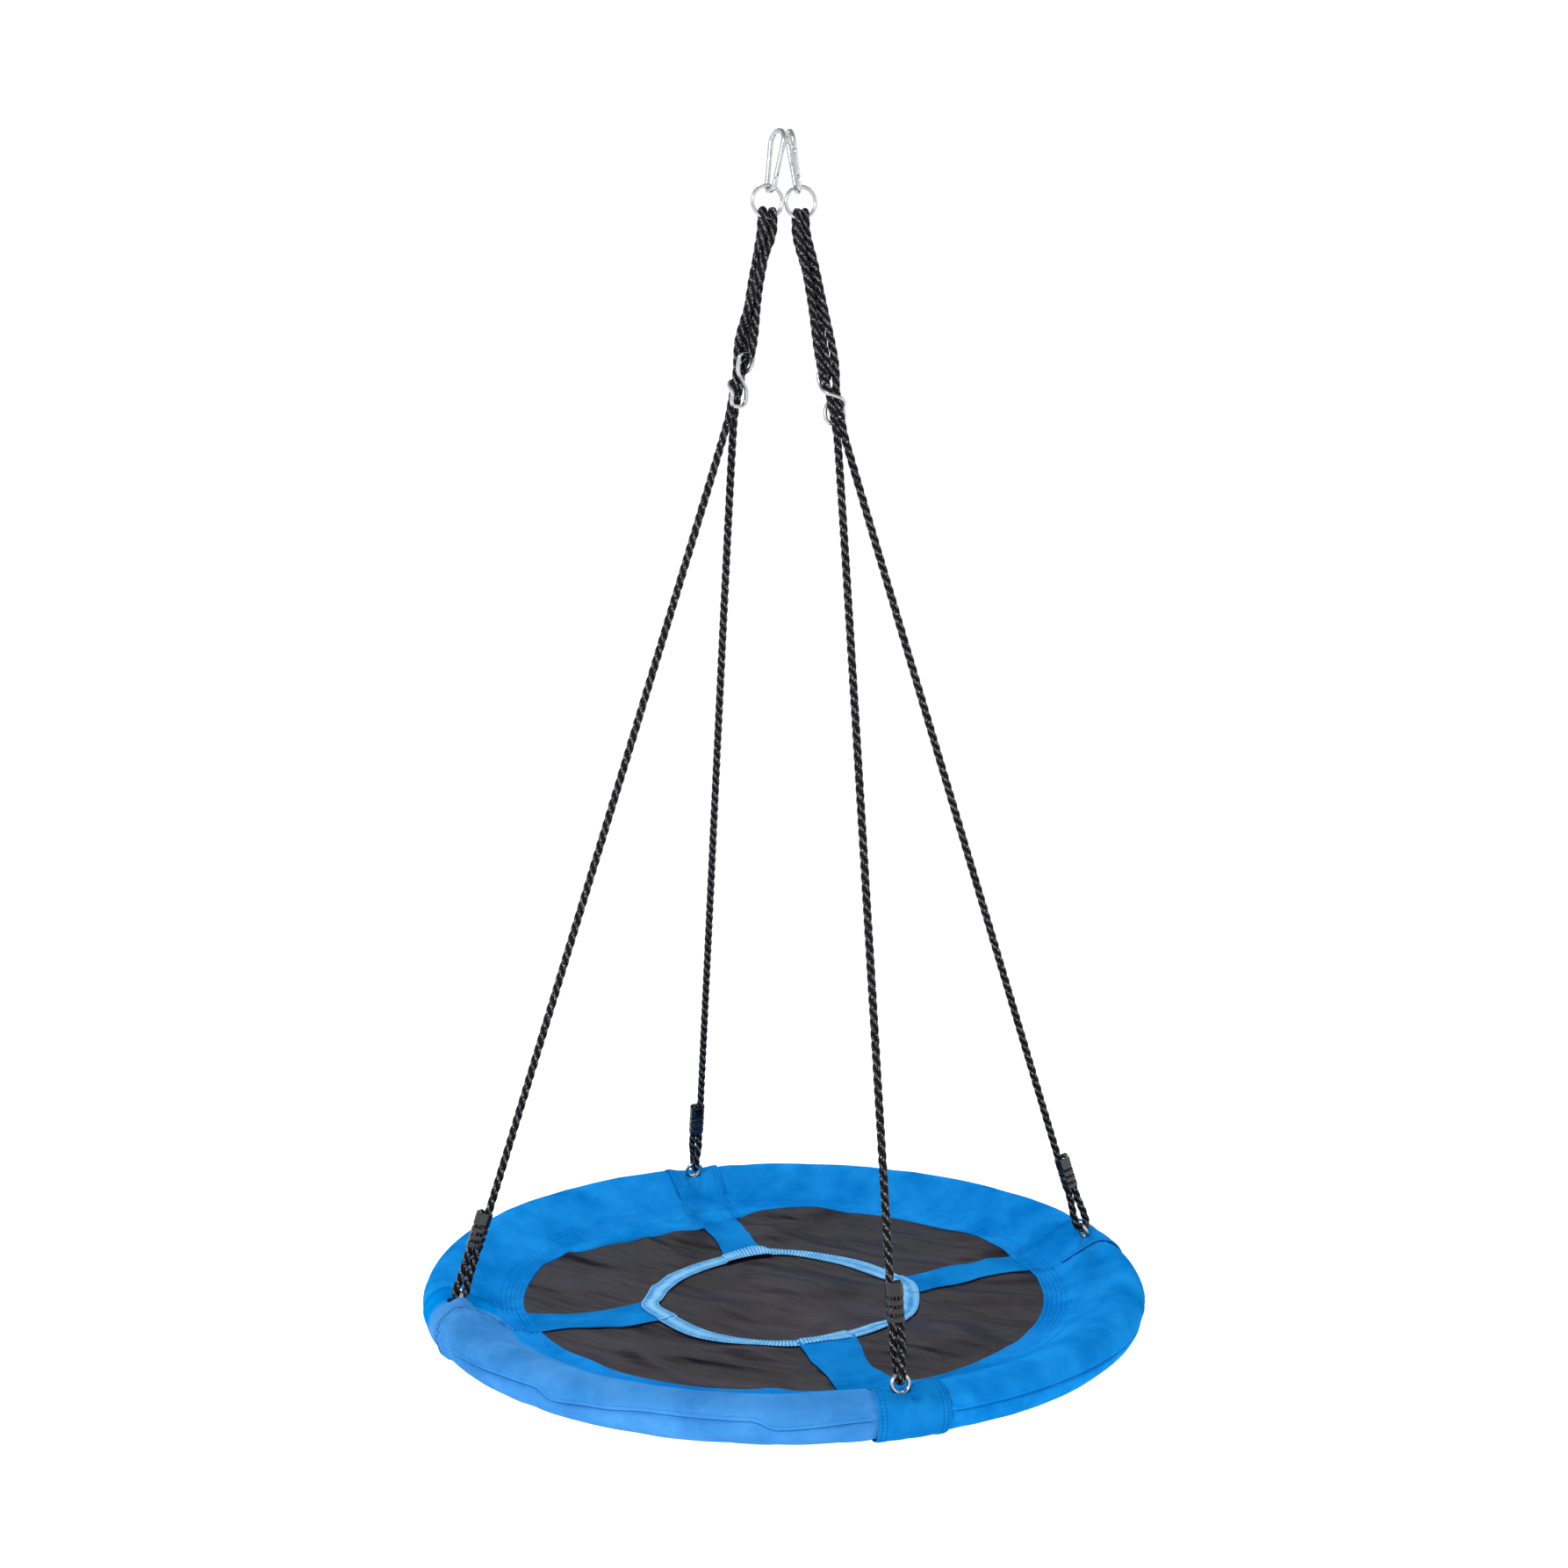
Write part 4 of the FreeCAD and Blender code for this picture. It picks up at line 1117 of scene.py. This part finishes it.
def stitching(name, surface, rows, thread, pitch=0.0044, half=THREAD):
    """Thread through a surface: one small raised stitch after another along each row of places."""
    tree = surface_tree(surface)
    points = []
    faces = []
    for row in rows:
        line = even_steps(row, pitch)
        for place, after in zip(line, line[1:]):
            start, outward = tree.find_nearest(place)[:2]
            end = tree.find_nearest(place.lerp(after, 0.66))[0]
            if (end - start).length < 0.001:
                continue
            across = (end - start).cross(outward).normalized() * half
            rise = outward * half
            base = len(points)
            points.append(start - rise)
            for share in (0.22, 0.78):
                middle = start.lerp(end, share) + rise * 0.5
                points += [middle + across, middle + rise, middle - across, middle - rise]
            points.append(end - rise)
            for side in range(base + 1, base + 5):
                after_side = side + 1 if side < base + 4 else base + 1
                faces += [(base, after_side, side), (side, after_side, after_side + 4, side + 4),
                          (side + 4, after_side + 4, base + 9)]
    return dress(new_mesh(name, points, faces), "blue_cloth", thread)


def fold_height(x, y):
    """The soft folds of the loose cloth: broad swells and long narrow ridges that lean on them."""
    ahead = (x - y) * 0.707
    aside = (x + y) * 0.707 + 0.03 * waves(x * 5, y * 5, 9.0)
    swell = 0.0045 * waves(ahead * 5 + 3, aside * 13, 5.0)
    ridge = 1 - abs(waves(ahead * 3.5 + aside, aside * 15, 1.0)) * 3.2
    return swell + 0.0085 * ease(ridge) * ease(0.5 + 1.4 * waves(x * 7, y * 7, 3.0))


def make_seat_cloth():
    """The dark cloth, sewn in all round and cut a little loose, so that it wrinkles."""
    radius = EDGE_RADIUS - 0.004
    places = spaced(-radius, radius, 88)

    def place_at(across, along):
        x = across * sqrt(1 - (along / radius) ** 2 / 2)
        y = along * sqrt(1 - (across / radius) ** 2 / 2)
        away = hypot(x, y)
        height = dish_height(min(away, EDGE_RADIUS)) + CLOTH_TOP + cloth_rise(away)
        return Vector((x, y, height + fold_height(x, y) * ease((0.395 - away) / 0.04)))

    piece = grid("saucer_cloth", places, places, place_at)
    for loop in piece.data.loops:
        piece.data.uv_layers[0].data[loop.index].uv = piece.data.vertices[loop.vertex_index].co.xy
    settle(piece, lambda x, y: hypot(x, y) > 0.402, 0.010, 0.0050, bending=0.2, fall=0.1, steps=20)
    finer(piece)
    ground = Ground(piece)
    sew_in(piece, "seat_cloth", "dark_cloth", thickness=CLOTH_THICKNESS)
    return ground


def border_edge(turn):
    """Radius of the border's inner edge, which reaches further in on both sides of the back spoke."""
    angle = degrees(turn)
    return BORDER_INSIDE - 0.050 * ease((angle - 70) / 24) * ease((145 - angle) / 35)


def make_border(ground):
    """The blue border round the seat cloth: five sewn rows, a rolled inner hem and radial seams."""
    lanes = places_along(BORDER_INSIDE, BORDER_OUTSIDE, 0.0018, STITCH_ROWS, 0.0024, 0.0008)
    steps = spaced(0.0, 2 * pi * BORDER_INSIDE, 620)[:-1]

    def place_at(radius, along):
        turn = along / BORDER_INSIDE
        edge = border_edge(turn)
        real = radius - (BORDER_INSIDE - edge) * max(1 - (radius - BORDER_INSIDE) / 0.0050, 0.0)
        from_edge = real - edge
        real += 0.0022 * waves(3 * cos(turn), 3 * sin(turn), 9.0) * exp(-from_edge / 0.012)
        x = real * cos(turn)
        y = real * sin(turn)
        height = LAYER + over_spoke(x, y) * ease((0.387 - real) / 0.010)
        for row in STITCH_ROWS:
            height -= 0.0012 * bell(radius - row, 0.0013)
        height += 0.0030 * ease((radius - 0.3920) / 0.0190)
        pucker = waves(along * 190, radius * 60) + 0.6 * waves(along * 70, radius * 90, 5.0)
        height += 0.00045 * pucker * ease(from_edge / 0.008)
        height += 0.0006 * bell(from_edge - 0.002, 0.0016) - 0.0011 * bell(from_edge, 0.0008)
        return ground.point(x, y, height - 0.0008 * bell(beside_spoke(x, y) + 0.031, 0.0010))

    piece = grid("stitched_border", lanes, steps, place_at, closed=True)
    rows = [[place_at(row, step) for step in steps + steps[:1]] for row in STITCH_ROWS]
    thread = stitching("border_stitches", piece, rows, BLUE_THREAD)
    rows = []
    for place, (before, beyond) in BANDS.items():
        ahead = outwards(place)
        reach = places_along(border_edge(radians(ATTACHMENTS[place])) + 0.006, FLANGE_RADIUS, 0.004)
        for beside in [row - before for row in BAND_ROWS] + [beyond - row for row in BAND_ROWS[::-1]]:
            spots = [ahead * away + Z_AXIS.cross(ahead) * beside for away in reach]
            rows.append([ground.point(spot.x, spot.y, LAYER) for spot in spots])
    radial = stitching("border_radial_stitches", piece, rows, DARK_THREAD_AND_SHADOW_LINE)
    sew_in(piece, "seat_border", "blue_cloth")


def make_spoke(place, ground):
    """A blue spoke from the webbing ring to the border, wider at its ends, with sewn hems."""
    seed = ATTACHMENTS[place] / 90
    ahead = outwards(place)
    aside = Z_AXIS.cross(ahead)
    half_width = SPOKE_WIDTH[place] / 2
    middle = (SPOKE_INSIDE + SPOKE_OUTSIDE) / 2
    half_length = (SPOKE_OUTSIDE - SPOKE_INSIDE) / 2
    lanes = places_along(-half_width, half_width, 0.0022, [-half_width, half_width], 0.006, 0.0009)
    steps = places_along(SPOKE_INSIDE, SPOKE_OUTSIDE, 0.0026)

    def place_at(across, along):
        share = (along - middle) / half_length
        wander = 0.0022 * waves(along * 14, seed * 7.0, copysign(2.0, across))
        real = across * (0.95 + 0.14 * share * share) + wander * across / half_width
        real += 0.0020 * waves(along * 7, seed * 5.0) + SPOKE_SHIFT.get(place, 0.0) * ease(1.0 + share)
        x, y, _ = ahead * along + aside * real
        from_edge = half_width - abs(across)
        height = LAYER + 0.0006 * waves(along * 40, across * 40, seed * 3.0) * ease(from_edge / 0.02)
        height += 0.0005 * ease((0.0065 - from_edge) / 0.001) - 0.0004 * bell(from_edge - SPOKE_HEM, 0.0007)
        return ground.point(x, y, height - 0.0009 * bell(from_edge, 0.0006))

    piece = grid("spoke_" + place, lanes, steps, place_at)
    rows = [[place_at(side * (half_width - SPOKE_HEM), step) for step in steps[:-5]] for side in (-1, 1)]
    thread = stitching("spoke_stitches_" + place, piece, rows, BLUE_THREAD)
    sew_in(piece, "seat_spoke_" + place, "blue_cloth", SHADED_CLOTH)


def make_web_ring(ground):
    """The ring of ribbed webbing, drawn out a little where the four spokes pull on it."""
    half_width = WEB_RING_WIDTH / 2
    hem = 0.0030
    ribs = round(2 * pi * WEB_RING_MIDDLE / RIB_PITCH)
    length = ribs * RIB_PITCH
    lanes = places_along(-half_width, half_width, 0.0016, [-half_width, half_width], 0.0035, 0.0007)
    steps = spaced(0.0, length, ribs * 4)[:-1]

    def place_at(across, along):
        turn = 2 * pi * along / length
        radius = WEB_RING_MIDDLE + across + 0.0055 * bell(from_quarter(turn), 0.24) - 0.0035
        radius += 0.0070 * bell(turn - pi + 0.10, 0.16) - 0.0040 * max(cos(turn), 0.0) ** 4
        radius += 0.0030 * waves(1.6 * cos(turn), 1.6 * sin(turn), 4.0)
        x = radius * cos(turn)
        y = radius * sin(turn)
        from_edge = half_width - abs(across)
        rib = cos(2 * pi * (along + 0.25 * across) / RIB_PITCH)
        height = LAYER + 1.8 * over_spoke(x, y) + 0.0007 * rib * ease((from_edge - 0.0025) / 0.001)
        height += 0.0004 * bell(from_edge - 0.0015, 0.0008) - 0.0005 * bell(from_edge - hem, 0.0005)
        return ground.point(x, y, height + 0.0008 * waves(along * 16, across * 20, 2.0) + 0.0009)

    piece = grid("ribbed_ring", lanes, steps, place_at, closed=True)
    rows = [[place_at(side * (half_width - hem), step) for step in steps[::2]] for side in (-1, 1)]
    thread = stitching("ring_stitches", piece, rows, BLUE_THREAD)
    sew_in(piece, "webbing_ring", "blue_webbing", thickness=WEBBING_THICKNESS)


# ---- nodes shown as they are
def dress_nodes():
    """Materials for the metal, plastic and tubes, and softened edges on the moulded clamps."""
    slots = {part["node"]: part["material_slot"] for part in frame["record"]["subparts"]}
    for name, node in frame["nodes"].items():
        for slot in node.material_slots:
            slot.material = MATERIALS[slots[name]]
        if name.startswith("rope_clamp"):
            edges = node.modifiers.new("soft_edges", "BEVEL")
            edges.width = 0.0004
            edges.segments = 2
            edges.angle_limit = radians(40)


make_camera()
make_ropes()
make_stage()
dress_nodes()
for make in (make_foam, make_panel, make_band):
    for place in ATTACHMENTS:
        make(place)
seat_ground = make_seat_cloth()
make_border(seat_ground)
for place in ATTACHMENTS:
    make_spoke(place, seat_ground)
make_web_ring(seat_ground)
